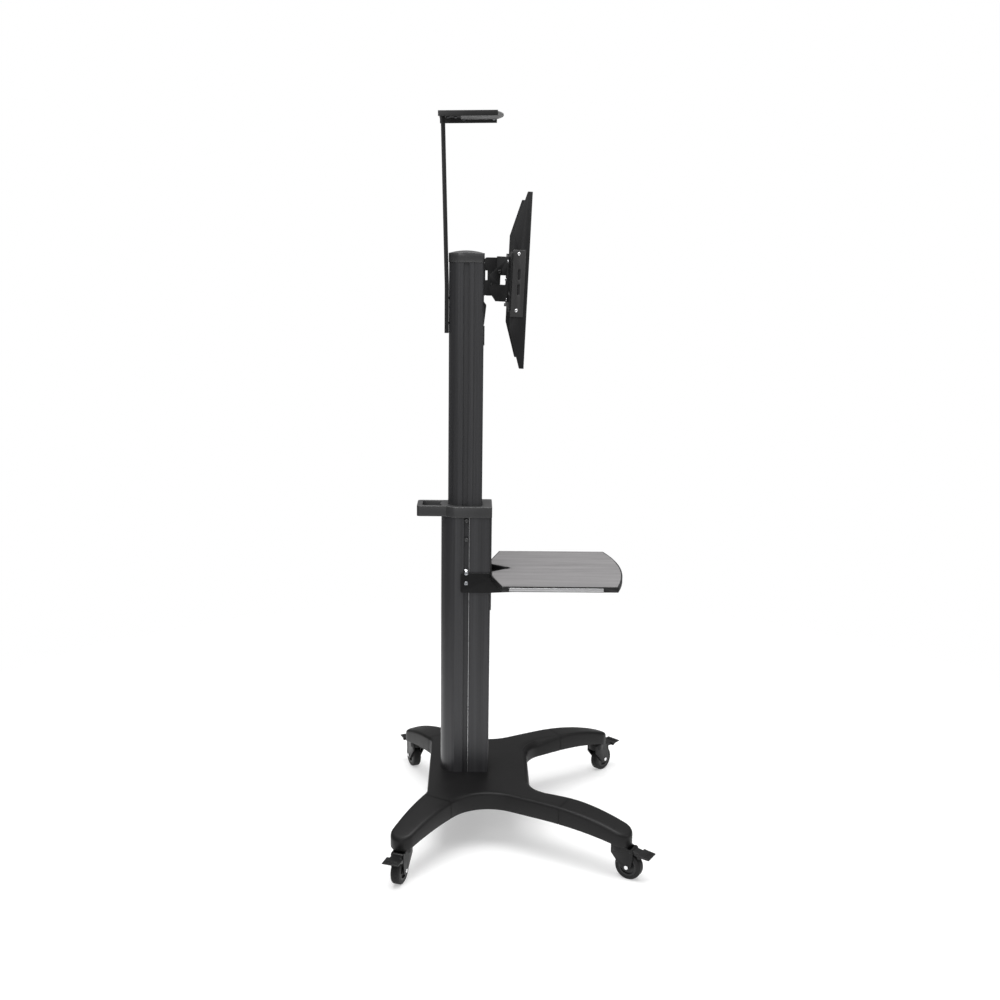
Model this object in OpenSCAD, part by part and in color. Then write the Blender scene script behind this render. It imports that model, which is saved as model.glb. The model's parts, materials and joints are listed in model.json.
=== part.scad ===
// Mobile TV stand: wheeled base, two-part column, shelf, screen mount and camera tray.
// Millimetres, +Z up, floor at Z = 0. The screen side faces -Y and the handle side +Y.
// The origin is the middle of the footprint on the floor.

/* [Base] */
// Height of the flat top of the hub above the floor
hub_top = 170; // [165:1:185]
// Height of the side wall of the hub
hub_wall_h = 50; // [42:1:54]
// Wall thickness of the moulded covers
cover_wall = 3; // [2:0.25:4]
// Distance from the column to the middle of a front leg tip, to the front
front_tip_reach = 425; // [400:5:450]
// Distance from the middle plane to the middle of a front leg tip
front_tip_x = 342; // [320:2:360]
// Distance from the column to the middle of a rear leg tip, to the rear
rear_tip_reach = 158; // [150:2:175]
// Distance from the middle plane to the middle of a rear leg tip
rear_tip_x = 359; // [340:2:375]
// Radius of the rounded end of a front leg
front_tip_r = 32; // [30:1:36]
// Radius of the rounded end of a rear leg
rear_tip_r = 35; // [32:1:38]
// Thickness of the steel spider inside the covers
frame_t = 8; // [5:0.5:10]
// Distance of the column behind the middle of the footprint
column_set_back = 150; // [130:1:170]

/* [Casters] */
// Diameter of a caster wheel
wheel_d = 75; // [70:1:78]
// Width of a caster tyre
wheel_w = 25; // [20:1:27]
// Distance from the stem of a caster to its axle
caster_trail = 28; // [24:1:32]
// Height of the face that the casters are mounted on
caster_seat = 98; // [95:0.5:102]
// Diameter of a caster stem
stem_d = 12; // [10:1:14]
// Length of a brake pedal beyond its pin
pedal_l = 57; // [50:1:65]
// Width of a brake pedal at its foot pad
pedal_w = 46; // [36:1:56]

/* [Lower column] */
// Width of the lower column
lower_w = 116; // [112:1:124]
// Depth of the lower column
lower_depth = 140; // [136:1:150]
// Height of the top end of the lower column above the floor
lower_top = 950; // [900:5:1000]
// Wall thickness of both columns
column_wall = 3; // [2:0.25:3.5]

/* [Upper column] */
// Width of the upper column
upper_w = 80; // [76:1:82]
// Depth of the upper column
upper_depth = 96; // [90:1:98]
// Height of the top end of the upper column, as it stands
upper_top = 1645; // [1500:5:1700]
// Length of the upper column that stands inside the lower one
upper_inserted = 380; // [300:5:400]

/* [Collar and handle] */
// Height of the collar
collar_h = 30; // [26:1:40]
// Distance from the column to the rear face of the handle
handle_reach = 138; // [125:1:150]
// Width of the handle loop
handle_w = 88; // [76:1:100]

/* [Shelf] */
// Width of the shelf
shelf_w = 412; // [380:2:440]
// Depth of the shelf from the column to the middle of its front edge
shelf_depth = 374; // [340:2:400]
// Thickness of the shelf
shelf_t = 15; // [12:1:20]
// Height of the top face of the shelf, as it stands
shelf_top = 769; // [600:1:820]
// Height of the shelf's side plates
clamp_h = 57; // [50:1:70]

/* [Screen mount] */
// Forward tilt of the screen arms, as they stand
screen_tilt = 2.1; // [0:0.1:6]
// Length of a screen arm
arm_l = 447; // [437:1:470]
// Depth of a screen arm at its middle
arm_depth = 42; // [34:1:48]
// Width of a screen arm
arm_w = 28; // [24:1:32]
// Distance between the middles of the two screen arms
arm_spacing = 400; // [380:2:420]
// Height between the upper and lower fixing holes of an arm
hole_spacing_z = 400; // [300:5:410]
// Diameter of a fixing hole for the screen
screen_hole_d = 8.5; // [6:0.5:9]
// Width of the plate that the arms hang on
plate_w = 440; // [430:2:480]
// Height of the plate that the arms hang on
plate_h = 144; // [130:2:150]

/* [Camera tray] */
// Width of the camera tray
tray_w = 170; // [120:2:200]
// Depth of the camera tray
tray_depth = 156; // [140:2:170]
// Height of the top face of the camera tray at its rear end
tray_top = 2012; // [1900:2:2060]
// Width of the bar that carries the camera tray
bar_w = 30; // [24:1:36]
// Depth of the bar that carries the camera tray
bar_depth = 11; // [8:0.5:12]

/* [Hidden] */
$fn = 96;

// Overrun of a cutting shape past the face that it cuts
over = 1;
// Play between two pieces that are fixed to each other
fit_gap = 0.2;
// Play between pieces that move past each other
run_gap = 0.4;
// Radial play of a shaft in its bore
shaft_play = 0.05;

// Sizes of the base
arch_start_r = 272;
arch_top_r = 576;
arch_bottom_r = 880;
arch_limit_r = 560;
hub_bottom = hub_top - hub_wall_h;
arch_y = (rear_tip_x^2 + rear_tip_reach^2 - front_tip_x^2 - front_tip_reach^2)
    / (2 * (rear_tip_reach + front_tip_reach));
front_root = [205, -200];
front_root_r = 42;
rear_root = [205, 57];
rear_root_r = 50;
front_tip = [front_tip_x, -front_tip_reach];
rear_tip = [rear_tip_x, rear_tip_reach];
hub_rear_y = 103;
hub_front_y = -189;
side_fillet_r = 120;
notch_fillet_r = 90;
rear_fillet_r = 60;
tip_steps = 18;
side_steps = 14;
notch_steps = 8;
front_seam_share = 0.36;
rear_seam_share = 0.16;
seam_gap = 0.6;
frame_inset = 14;
frame_top = hub_top - cover_wall - fit_gap;
boss_r = 17;

// Sizes of the casters
wheel_r = wheel_d / 2;
core_r = 26;
tyre_round = 5;
fork_play = 2.5;
cheek_t = 3.5;
cheek_in = wheel_w / 2 + fork_play;
cheek_out = cheek_in + cheek_t;
housing_r = 22;
housing_h = 18;
seat_washer_t = 1.5;
fork_top = caster_seat - seat_washer_t;
bridge_h = 14;
bridge_front = 28;
bridge_back = 19;
axle_r = 4;
axle_head_r = 5.5;
axle_head_t = 2.2;
axle_boss_r = 11;
stem_r = stem_d / 2;
stem_head_r = 10;
stem_head_t = 4;
stem_reach = 30;
stem_top = caster_seat + stem_reach;
pin_u = 38;
pin_z = 83;
pin_r = 3;
pin_lug_r = 7;
pedal_hub_r = 6;
pedal_lever_w = 2 * cheek_in - 2 * run_gap;
pedal_h = 20;
pedal_pad_start_share = 0.4;
pedal_shares = [[0.0, 0.2], [0.12, 0.16], [0.42, 0.02], [0.6, -0.06], [1.0, -0.18], [0.99, -0.34],
    [0.62, -0.3], [0.5, -0.5], [0.3, -0.46], [0.12, -0.3], [0.0, -0.3]];
cheek_shares = [[-0.68, 1.0], [0.62, 1.0], [1.55, 0.94], [1.6, 0.72], [1.4, 0.34], [0.66, 0.3],
    [-0.68, 0.76]];
// Place, heading and pedal angle of each caster
casters = [
    [[-front_tip_x, -front_tip_reach], 238, 1],
    [[front_tip_x, -front_tip_reach], -45, -6],
    [[-rear_tip_x, rear_tip_reach], 161, -6],
    [[rear_tip_x, rear_tip_reach], 23, -4]
];

// Sizes of the columns
round_share = 1.07;
front_corner_r = 6;
corner_steps = 6;
back_steps = 28;
slot_y = -2;
slot_mouth = 15;
slot_pocket = 21;
slot_lip = 3;
slot_depth = 9;
slot_wall = 3;
port_r = 4;
port_wall = 3;
port_inset = 9.5;
front_ports = [lower_w / 2 - port_inset, port_inset - lower_depth / 2];
rear_ports = [lower_w / 3, lower_depth / 3];
upper_y = 3.3;
groove_y = 3;
groove_w = 16;
groove_d = 5;
groove_wall = 3;
step_y = -19;
step_w = 3;
step_d = 1.5;
bar_slot_mouth = 9;
bar_slot_pocket = 18;
bar_slot_lip = 3;
bar_slot_depth = 9;
lower_front = -lower_depth / 2;
upper_front = upper_y - upper_depth / 2;
upper_rear = upper_y + upper_depth / 2;
upper_bottom = lower_top - upper_inserted;
bolt_r = 3.95;
bolt_head_r = 7;
bolt_head_h = 6;
bolt_grip = 24;
strip_w = 66;
strip_t = 3;
strip_bottom = 650;
strip_round = 8;
bush_h = 50;
glide_h = 45;
glide_lip = 0.3;

// Sizes of the collar and the handle
collar_bottom = 927;
collar_wall = 3;
handle_bar_t = 15;
handle_side_t = 10;
handle_round = 9;
handle_start_y = 40;
lock_z = [863, 917];
lock_head_r = 6;
lock_head_t = 4;
lock_shank_r = 3;

// Sizes of the shelf
plate_t = 4;
clamp_in = lower_w / 2 + run_gap;
clamp_rear_y = 14;
clamp_ear_h = 5;
clamp_drop = 1;
clamp_bottom = shelf_top - clamp_drop - clamp_h;
clamp_round = 6;
board_gap = 1;
board_rear = lower_front - board_gap;
nose_x = 89;
corner_set = 28;
front_corner_set = 30;
notch_half_w = 45;
notch_tip_half_w = 10;
notch_d = 43;
edge_w = 4;
rail_h = 9;
rail_low = 2;
rail_t = 2.5;
rail_start = 48;
rail_end = 40;
rail_proud = 0.5;
board_low = shelf_top - shelf_t;
arm_under_l = 262;
arm_end_h = 30;
flange_w = 24;
flange_t = 3;
board_screw_r = 2.5;
board_screw_head_r = 5;
board_screw_head_t = 2.5;
board_screw_grip = 10;
board_screw_places_share = [0.2, 0.8];
clamp_screws_z = [shelf_top - clamp_drop, board_low - shelf_t];
clamp_nut_w = 18;

// Sizes of the upper column's fittings
cap_skirt = 19;
cap_wall = 1;
cap_side = 6;
cap_rise = 13;
cap_dome_r = 165;
clip_w = 26;
strap_t = 2.5;
strap_z = [1402, 1455];
strap_round = 3;
clip_z = [1459, 1521];
clip_reach = 6.5;
clip_slope = 9;
clip_nose = 4;
clip_tail = 1;
bracket_t = 3;
bracket_w = 76;
bracket_low = 1538;
bracket_high = 1640;
bracket_reach = 50;
bracket_corner_r = 8;
pivot_reach = 86;
pivot_z = 1602;
pivot_r = 4;
bracket_slot = [[46, 54], [1579, 1605]];
window_y = [89, 105];
window_z = [1567, 1593];
window_play = 2;
small_screw_r = 2.5;
small_head_r = 4.5;
small_head_t = 2.5;
bracket_screws_z = [1556, 1612];
bracket_back_high = upper_top - cap_skirt - run_gap;

// Sizes of the screen head, measured from the tilt pivot
head_t = 3;
head_in = bracket_w / 2 + run_gap;
head_low = -79;
head_high = 41;
head_rear_shares = [[-0.31, 1], [-0.31, 0.74], [-1.02, 0.59], [-1.02, 0.275], [-0.7, 0.117],
    [-0.31, 0]];
head_flange_w = 22;
head_rivet = [-21, -34];
flange_screws_z = [28, -72];
rivet_head_r = 3.2;
rivet_head_t = 1.5;
end_bolt = [9, -20];
end_bolt_r = 3.5;
sheet_t = 3;
plate_mid_z = -24;
plate_window_shares = [0.28, 0.66];
plate_window_w = 70;
plate_window_r = 14;
arm_front = 71;
arm_rear = arm_front - arm_depth;
plate_back = arm_rear - run_gap - sheet_t;
arm_mid_z = -20;
arm_t = 2.5;
arm_tip_depth = 12;
arm_flat_share = 0.55;
hook_w = 33;
hook_low = -111;
hook_high = 58;
hook_t = 2.5;
hook_slots_z = [-4, -42];
hook_slot_w = 7;
hook_slot_l = 28;
hook_slot_reach = 18;
hook_tab = 9;
hook_tab_t = 3;
arm_slot_l = 43;
arm_slot_z = [110, 55, -55, -110];
arm_screw_z = [48, -95];
arm_screw_y = 44;

// Sizes of the camera tray and its bar
bar_bottom = 1435;
bar_bend_z = 1562;
bar_front_y = upper_rear + run_gap;
bar_screw_z = [1462, 1530];
bar_nut_l = 24;
bar_foot_l = 50;
bar_foot_t = 5;
bar_foot_set = 5;
foot_screw_shares = [0.38, 0.78];
tray_tilt = 1.3;
tray_t = 2;
tray_lip = 14;
tray_rear_y = 80;
board_t = 3;
board_l = 115;
board_start = 58;
board_screw_inset = 8;
camera_hole_d = 6.5;
camera_edge_r = 190;

// A box given by two opposite corners
module block(low, high) translate(low) cube(high - low);
// A round rod along Z, X or Y
module rod(r, low, high) translate([0, 0, low]) cylinder(r = r, h = high - low);
module rod_x(r, low, high) rotate([0, 90, 0]) rod(r, low, high);
module rod_y(r, low, high) rotate([-90, 0, 0]) rod(r, low, high);
// A child and its mirror image on the other side of the middle plane
module both_sides() {
    children();
    mirror([1, 0, 0]) children();
}
// Everything that is measured from the column stands behind the middle of the footprint
module at_column() translate([0, column_set_back, 0]) children();
// A rectangle with round corners
module round_rect(low, high, r) {
    translate(low + [r, 0]) square([high.x - low.x - 2 * r, high.y - low.y]);
    translate(low + [0, r]) square([high.x - low.x, high.y - low.y - 2 * r]);
    for (x = [low.x + r, high.x - r], y = [low.y + r, high.y - r]) translate([x, y]) circle(r);
}

// Plan of the base: tapered legs from root circles to tip circles, joined by fillets
function turned(v) = [-v.y, v.x];
function unit(v) = v / norm(v);
// Outward normal of the common tangent of two circles, on the side given by +1 or -1
function tangent_normal(c1, r1, c2, r2, side) =
    let (d = unit(c2 - c1), s = (r1 - r2) / norm(c2 - c1)) s * d + side * sqrt(1 - s^2) * turned(d);
// Where the line through p with normal n meets the line through q with normal m
function meet(p, n, q, m) = let (det = n.x * m.y - n.y * m.x)
    [((p * n) * m.y - (q * m) * n.y) / det, (n.x * (q * m) - m.x * (p * n)) / det];
rear_normal = tangent_normal(rear_root, rear_root_r, rear_tip, rear_tip_r, 1);
rear_side_normal = tangent_normal(rear_root, rear_root_r, rear_tip, rear_tip_r, -1);
front_side_normal = tangent_normal(front_root, front_root_r, front_tip, front_tip_r, 1);
inner_normal = tangent_normal(front_root, front_root_r, front_tip, front_tip_r, -1);
// Middles of the four fillets, each one radius away from the two edges that it joins
rear_fillet = meet(rear_tip + (rear_tip_r + rear_fillet_r) * rear_normal, rear_normal,
    [0, hub_rear_y + rear_fillet_r], [0, 1]);
side_fillet = meet(rear_tip + (rear_tip_r + side_fillet_r) * rear_side_normal, rear_side_normal,
    front_tip + (front_tip_r + side_fillet_r) * front_side_normal, front_side_normal);
notch_fillet = meet(front_tip + (front_tip_r + notch_fillet_r) * inner_normal, inner_normal,
    [0, hub_front_y - notch_fillet_r], [0, 1]);
// Points along an arc between two angles
function arc(centre, r, from, to, steps) = [for (i = [0 : steps])
    let (a = from + (to - from) * i / steps) centre + r * [cos(a), sin(a)]];
function angle(v) = atan2(v.y, v.x);
// Right half of the plan moved inwards by an inset, from the rear edge round to the front edge
function half_plan(inset) = concat(
    arc(rear_fillet, rear_fillet_r + inset, -90, angle(-rear_normal), 4),
    arc(rear_tip, rear_tip_r - inset, angle(rear_normal), angle(rear_side_normal), tip_steps),
    arc(side_fillet, side_fillet_r + inset, angle(-rear_side_normal),
        angle(-front_side_normal) + 360, side_steps),
    arc(front_tip, front_tip_r - inset, angle(front_side_normal), angle(inner_normal), tip_steps),
    arc(notch_fillet, notch_fillet_r + inset, angle(-inner_normal), 90, notch_steps)
);
module base_plan(inset) {
    right = half_plan(inset);
    polygon(concat(right, [for (i = [len(right) - 1 : -1 : 0]) [-right[i].x, right[i].y]]));
}
// Solid of revolution under an arched surface: flat at the hub and falling towards the tips
module arch(top, r) translate([0, arch_y, 0]) rotate_extrude($fn = 128) {
    square([arch_start_r, top]);
    intersection() {
        translate([arch_start_r, top - r]) circle(r, $fn = 256);
        translate([arch_start_r, 0]) square([arch_limit_r - arch_start_r, top]);
    }
}
// Shell of the base covers, open below
module cover_shell() difference() {
    intersection() {
        linear_extrude(hub_top + over) base_plan(0);
        arch(hub_top, arch_top_r);
    }
    intersection() {
        linear_extrude(hub_top) base_plan(cover_wall);
        arch(hub_top - cover_wall, arch_top_r);
    }
    arch(hub_bottom, arch_bottom_r);
}
// Half space beyond a seam across a leg, standing at a share of the way from root to tip
module beyond_seam(root, tip, share, gap) translate(root + share * (tip - root))
    rotate([0, 0, atan2(tip.y - root.y, tip.x - root.x)])
    translate([gap / 2, -arch_limit_r / 2, 0]) cube([arch_limit_r, arch_limit_r, hub_top + over]);
module front_end(gap) beyond_seam(front_root, front_tip, front_seam_share, gap);
module rear_end(gap) beyond_seam(rear_root, rear_tip, rear_seam_share, gap);

module base_frame() color("#3a3a3c") at_column() difference() {
    union() {
        difference() {
            intersection() {
                linear_extrude(hub_top) base_plan(frame_inset);
                arch(frame_top, arch_top_r);
            }
            arch(frame_top - frame_t, arch_top_r);
        }
        for (place = casters) translate(place[0]) rod(boss_r, caster_seat, stem_top);
    }
    for (place = casters) translate(place[0]) rod(stem_r, caster_seat - over, stem_top + over);
    column_ports() rod(bolt_r, hub_bottom, hub_top);
}
module hub_cover() color("#2c2b2c") at_column() difference() {
    cover_shell();
    both_sides() front_end(-seam_gap);
    both_sides() rear_end(-seam_gap);
    linear_extrude(hub_top + over) lower_plan(fit_gap);
}
module leg_cover(side, front) color("#2c2b2c") at_column() intersection() {
    cover_shell();
    mirror([side < 0 ? 1 : 0, 0, 0])
        if (front) front_end(seam_gap); else rear_end(seam_gap);
}
module leg_cover_front_left() leg_cover(-1, true);
module leg_cover_front_right() leg_cover(1, true);
module leg_cover_rear_left() leg_cover(-1, false);
module leg_cover_rear_right() leg_cover(1, false);

// Casters: each piece is drawn with its stem on the Z axis and its wheel towards +X
module at_caster(place) at_column() translate(place[0]) rotate([0, 0, place[1]]) children();
module at_axle() translate([caster_trail, 0, wheel_r]) children();
module caster_stems() color("#8d8f92") for (place = casters) at_caster(place) {
    rod(stem_r, fork_top - housing_h, stem_top);
    rod(stem_head_r, fork_top - housing_h - stem_head_t, fork_top - housing_h);
    rod(stem_head_r, fork_top, caster_seat);
}
module caster_fork(place) color("#242425") at_caster(place) difference() {
    union() {
        rod(housing_r, fork_top - housing_h, fork_top);
        block([-bridge_back, -cheek_out, fork_top - housing_h],
            [bridge_front, cheek_out, fork_top - housing_h + bridge_h]);
        for (side = [-1, 1]) translate([0, side * (cheek_in + cheek_t / 2), 0])
            rotate([90, 0, 0]) linear_extrude(cheek_t, center = true) cheek_plan();
    }
    rod(stem_r + shaft_play, fork_top - housing_h - over, fork_top + over);
    at_axle() rod_y(axle_r, -cheek_out - over, cheek_out + over);
    translate([pin_u, 0, pin_z]) rod_y(pin_r + shaft_play, -cheek_out - over, cheek_out + over);
    at_axle() rod_y(wheel_r + fork_play, -cheek_in, cheek_in);
}
module cheek_plan() {
    polygon([for (p = cheek_shares) [p.x * caster_trail, p.y * (fork_top - housing_h + bridge_h)]]);
    translate([caster_trail, wheel_r]) circle(axle_boss_r);
    translate([pin_u, pin_z]) circle(pin_lug_r);
}
module caster_axle(place) color("#d4d5d6") at_caster(place) at_axle() {
    rod_y(axle_r, -cheek_out, cheek_out);
    for (end = [0, 1]) mirror([0, end, 0]) {
        rod_y(axle_head_r, cheek_out, cheek_out + axle_head_t);
        rod_y(axle_head_r, wheel_w / 2 + run_gap, cheek_in);
    }
}
module caster_tyre(place) color("#1b1b1c") at_caster(place) at_axle() rotate([90, 0, 0])
    rotate_extrude() difference() {
        union() {
            translate([0, tyre_round - wheel_w / 2]) square([wheel_r, wheel_w - 2 * tyre_round]);
            translate([0, -wheel_w / 2]) square([wheel_r - tyre_round, wheel_w]);
            for (side = [-1, 1]) translate([wheel_r - tyre_round, side * (wheel_w / 2 - tyre_round)])
                circle(tyre_round);
        }
        translate([-wheel_r, -wheel_w]) square([wheel_r + core_r, 2 * wheel_w]);
    }
module caster_wheel(place) color("#2a2a2b") at_caster(place) at_axle() rotate([90, 0, 0])
    difference() {
        rod(core_r, -wheel_w / 2, wheel_w / 2);
        for (side = [-1, 1]) translate([0, 0, side * wheel_w / 2]) difference() {
            rod(core_r - tyre_round, -tyre_round, tyre_round);
            rod(axle_boss_r, -wheel_w, wheel_w);
        }
        rod(axle_r + shaft_play, -wheel_w, wheel_w);
    }
module caster_pedal(place) color("#232324") at_caster(place) translate([pin_u, 0, pin_z])
    rotate([0, place[2], 0]) {
    rod_y(pin_r, -cheek_out, cheek_out);
    intersection() {
        rotate([90, 0, 0]) linear_extrude(pedal_w, center = true) pedal_plan();
        union() {
            block([-pin_lug_r, -pedal_lever_w / 2, -pedal_h], [pedal_l, pedal_lever_w / 2, pedal_h]);
            block([pedal_pad_start_share * pedal_l, -pedal_w / 2, -pedal_h],
                [pedal_l, pedal_w / 2, pedal_h]);
        }
    }
}
module pedal_plan() {
    polygon([for (p = pedal_shares) [p.x * pedal_l, p.y * pedal_h]]);
    circle(pedal_hub_r);
}
module fork_front_left() caster_fork(casters[0]);
module axle_front_left() caster_axle(casters[0]);
module tyre_front_left() caster_tyre(casters[0]);
module wheel_front_left() caster_wheel(casters[0]);
module pedal_front_left() caster_pedal(casters[0]);
module fork_front_right() caster_fork(casters[1]);
module axle_front_right() caster_axle(casters[1]);
module tyre_front_right() caster_tyre(casters[1]);
module wheel_front_right() caster_wheel(casters[1]);
module pedal_front_right() caster_pedal(casters[1]);
module fork_rear_left() caster_fork(casters[2]);
module axle_rear_left() caster_axle(casters[2]);
module tyre_rear_left() caster_tyre(casters[2]);
module wheel_rear_left() caster_wheel(casters[2]);
module pedal_rear_left() caster_pedal(casters[2]);
module fork_rear_right() caster_fork(casters[3]);
module axle_rear_right() caster_axle(casters[3]);
module tyre_rear_right() caster_tyre(casters[3]);
module wheel_rear_right() caster_wheel(casters[3]);
module pedal_rear_right() caster_pedal(casters[3]);

// Outline of a column: a box with a round back
module column_plan(w, front, rear, grow) {
    half = w / 2 + grow;
    r = round_share * w / 2 + grow;
    corner = [half - front_corner_r, front - grow + front_corner_r];
    side = acos(half / r);
    polygon(concat(
        arc(corner, front_corner_r, -90, 0, corner_steps),
        arc([0, rear + grow - r], r, side, 180 - side, back_steps),
        arc([-corner.x, corner.y], front_corner_r, 180, 270, corner_steps)
    ));
}
module lower_plan(grow) column_plan(lower_w, lower_front, -lower_front, grow);
module upper_plan(grow) column_plan(upper_w, upper_front, upper_rear, grow);
// The four screw ports of the lower column
module column_ports() both_sides() {
    translate(front_ports) children();
    translate(rear_ports) children();
}
// Cavity of the lower column, made smaller all round by a play
module lower_cavity(play) difference() {
    lower_plan(-column_wall - play);
    both_sides() translate([lower_w / 2 - slot_depth - slot_wall - play,
        slot_y - slot_pocket / 2 - slot_wall - play])
        square([lower_w, slot_pocket + 2 * slot_wall + 2 * play]);
    column_ports() circle(port_r + port_wall + play);
}
module lower_column() color("#343435") at_column() translate([0, 0, frame_top])
    linear_extrude(lower_top - frame_top) difference() {
        lower_plan(0);
        lower_cavity(0);
        column_ports() circle(port_r);
        both_sides() {
            translate([lower_w / 2 - slot_depth, slot_y - slot_mouth / 2])
                square([slot_depth + over, slot_mouth]);
            translate([lower_w / 2 - slot_depth, slot_y - slot_pocket / 2])
                square([slot_depth - slot_lip, slot_pocket]);
        }
    }
module column_bolts() color("#8d8f92") at_column() column_ports() {
    rod(bolt_r, frame_top - frame_t, frame_top + bolt_grip);
    rod(bolt_head_r, frame_top - frame_t - bolt_head_h, frame_top - frame_t);
}
module front_cover() color("#2f2f30") at_column() intersection() {
    translate([0, lower_front, 0]) rotate([90, 0, 0]) linear_extrude(strip_t)
        round_rect([-strip_w / 2, strip_bottom], [strip_w / 2, lower_top], strip_round);
    block([-strip_w, lower_front - strip_t, 0], [strip_w, lower_front, collar_bottom - fit_gap]);
}
module glide_bush() color("#1f1f20") at_column() translate([0, 0, lower_top - bush_h])
    linear_extrude(bush_h - fit_gap) difference() {
        lower_cavity(fit_gap);
        upper_plan(run_gap);
    }
module lock_screws() color("#2b2b2c") at_column() both_sides() for (z = lock_z)
    translate([0, slot_y, z]) {
        rod_x(lock_head_r, lower_w / 2 - slot_lip, lower_w / 2 - slot_lip + lock_head_t);
        rod_x(lock_shank_r, lower_w / 2 - slot_depth, lower_w / 2);
    }

// Collar with the pushing handle behind it
module collar_handle() color("#2a2a2b") at_column() difference() {
    union() {
        translate([0, 0, collar_bottom]) linear_extrude(collar_h)
            lower_plan(collar_wall + fit_gap);
        translate([0, 0, collar_bottom]) linear_extrude(collar_h) difference() {
            round_rect([-handle_w / 2, handle_start_y], [handle_w / 2, handle_reach], handle_round);
            round_rect([handle_side_t - handle_w / 2, handle_start_y + handle_side_t],
                [handle_w / 2 - handle_side_t, handle_reach - handle_bar_t], handle_round);
            lower_plan(fit_gap);
        }
    }
    translate([0, 0, collar_bottom - over]) linear_extrude(lower_top - collar_bottom + over)
        lower_plan(fit_gap);
    translate([0, 0, collar_bottom]) linear_extrude(collar_h + over) upper_plan(run_gap);
}

// Shelf: the outline has a nose beside the column, chamfered corners and a bowed front
shelf_front = board_rear - shelf_depth;
bow_r = (shelf_w^2 / 4 + front_corner_set^2) / (2 * front_corner_set);
module shelf_plan(inset) difference() {
    intersection() {
        polygon([[-nose_x, board_rear - inset], [nose_x, board_rear - inset],
            [shelf_w / 2 - inset, board_rear - corner_set - inset / 2],
            [shelf_w / 2 - inset, shelf_front], [inset - shelf_w / 2, shelf_front],
            [inset - shelf_w / 2, board_rear - corner_set - inset / 2]]);
        translate([0, shelf_front + bow_r]) circle(bow_r - inset, $fn = 256);
    }
    polygon([[-notch_half_w - inset, board_rear + over], [notch_half_w + inset, board_rear + over],
        [notch_tip_half_w + inset, board_rear - notch_d], [-notch_tip_half_w - inset,
        board_rear - notch_d]]);
    translate([0, board_rear - notch_d]) circle(notch_tip_half_w + inset);
}
module side_rails() both_sides() block(
    [shelf_w / 2 - rail_t, shelf_front + front_corner_set + rail_end, board_low + rail_low],
    [shelf_w / 2 + rail_proud, board_rear - rail_start, board_low + rail_low + rail_h]);
module shelf_board() color("#8c8a8b") at_column() translate([0, 0, board_low]) difference() {
    linear_extrude(shelf_t) shelf_plan(edge_w);
    for (place = board_screw_places) translate(place) rod(board_screw_r, -over, board_screw_grip);
}
module shelf_edge() color("#232324") at_column() difference() {
    translate([0, 0, board_low]) linear_extrude(shelf_t) difference() {
        shelf_plan(0);
        shelf_plan(edge_w);
    }
    side_rails();
}
module shelf_rails() color("#b9babc") at_column() side_rails();
board_screw_places = [for (side = [-1, 1], share = board_screw_places_share)
    [side * (clamp_in + plate_t + flange_w / 2), board_rear - share * arm_under_l]];
module shelf_bracket_right() color("#2b2b2c") at_column() difference() {
    union() {
        translate([clamp_in, 0, 0]) rotate([90, 0, 90]) linear_extrude(plate_t) {
            round_rect([board_rear + board_gap, clamp_bottom], [clamp_rear_y, clamp_bottom + clamp_h],
                clamp_round);
            polygon([[board_rear + board_gap + clamp_round, clamp_bottom],
                [board_rear + board_gap + clamp_round, board_low],
                [board_rear - arm_under_l, board_low], [board_rear - arm_under_l, board_low - arm_end_h]]);
            translate([slot_y, clamp_bottom + clamp_h - clamp_round])
                circle(clamp_round + clamp_ear_h);
        }
        block([clamp_in, board_rear - arm_under_l, board_low - flange_t],
            [clamp_in + plate_t + flange_w, board_rear, board_low]);
    }
    for (z = clamp_screws_z) translate([0, slot_y, z]) rod_x(lock_shank_r, 0, lower_w);
    for (place = board_screw_places) translate(place)
        rod(board_screw_r, board_low - flange_t - over, board_low + over);
}
module shelf_bracket_left() mirror([1, 0, 0]) shelf_bracket_right();
module shelf_clamp_screws() color("#b4b5b7") at_column() both_sides() for (z = clamp_screws_z)
    translate([0, slot_y, z]) {
        rod_x(lock_head_r, clamp_in + plate_t, clamp_in + plate_t + lock_head_t);
        rod_x(lock_shank_r, lower_w / 2 - slot_depth + run_gap, clamp_in + plate_t);
        block([lower_w / 2 - slot_depth + run_gap, -clamp_nut_w / 2, -clamp_nut_w / 2],
            [lower_w / 2 - slot_lip - run_gap, clamp_nut_w / 2, clamp_nut_w / 2]);
    }
module shelf_board_screws() color("#8d8f92") at_column() for (place = board_screw_places)
    translate(place) {
        rod(board_screw_r, board_low - flange_t, board_low + board_screw_grip);
        rod(board_screw_head_r, board_low - flange_t - board_screw_head_t, board_low - flange_t);
    }

// Upper column and its fittings
module upper_column() color("#343435") at_column() translate([0, 0, upper_bottom])
    linear_extrude(upper_top - upper_bottom) difference() {
        upper_plan(0);
        difference() {
            upper_plan(-column_wall);
            both_sides() translate([upper_w / 2 - groove_d - groove_wall,
                groove_y - groove_w / 2 - groove_wall])
                square([upper_w, groove_w + 2 * groove_wall]);
            translate([-bar_slot_pocket / 2 - groove_wall, upper_rear - bar_slot_depth - groove_wall])
                square([bar_slot_pocket + 2 * groove_wall, upper_depth]);
        }
        both_sides() {
            translate([upper_w / 2 - groove_d, groove_y - groove_w / 2])
                square([groove_d + over, groove_w]);
            translate([upper_w / 2 - step_d, step_y - step_w / 2]) square([step_d + over, step_w]);
        }
        translate([-bar_slot_mouth / 2, upper_rear - bar_slot_depth])
            square([bar_slot_mouth, bar_slot_depth + over]);
        translate([-bar_slot_pocket / 2, upper_rear - bar_slot_depth])
            square([bar_slot_pocket, bar_slot_depth - bar_slot_lip]);
    }
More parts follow.
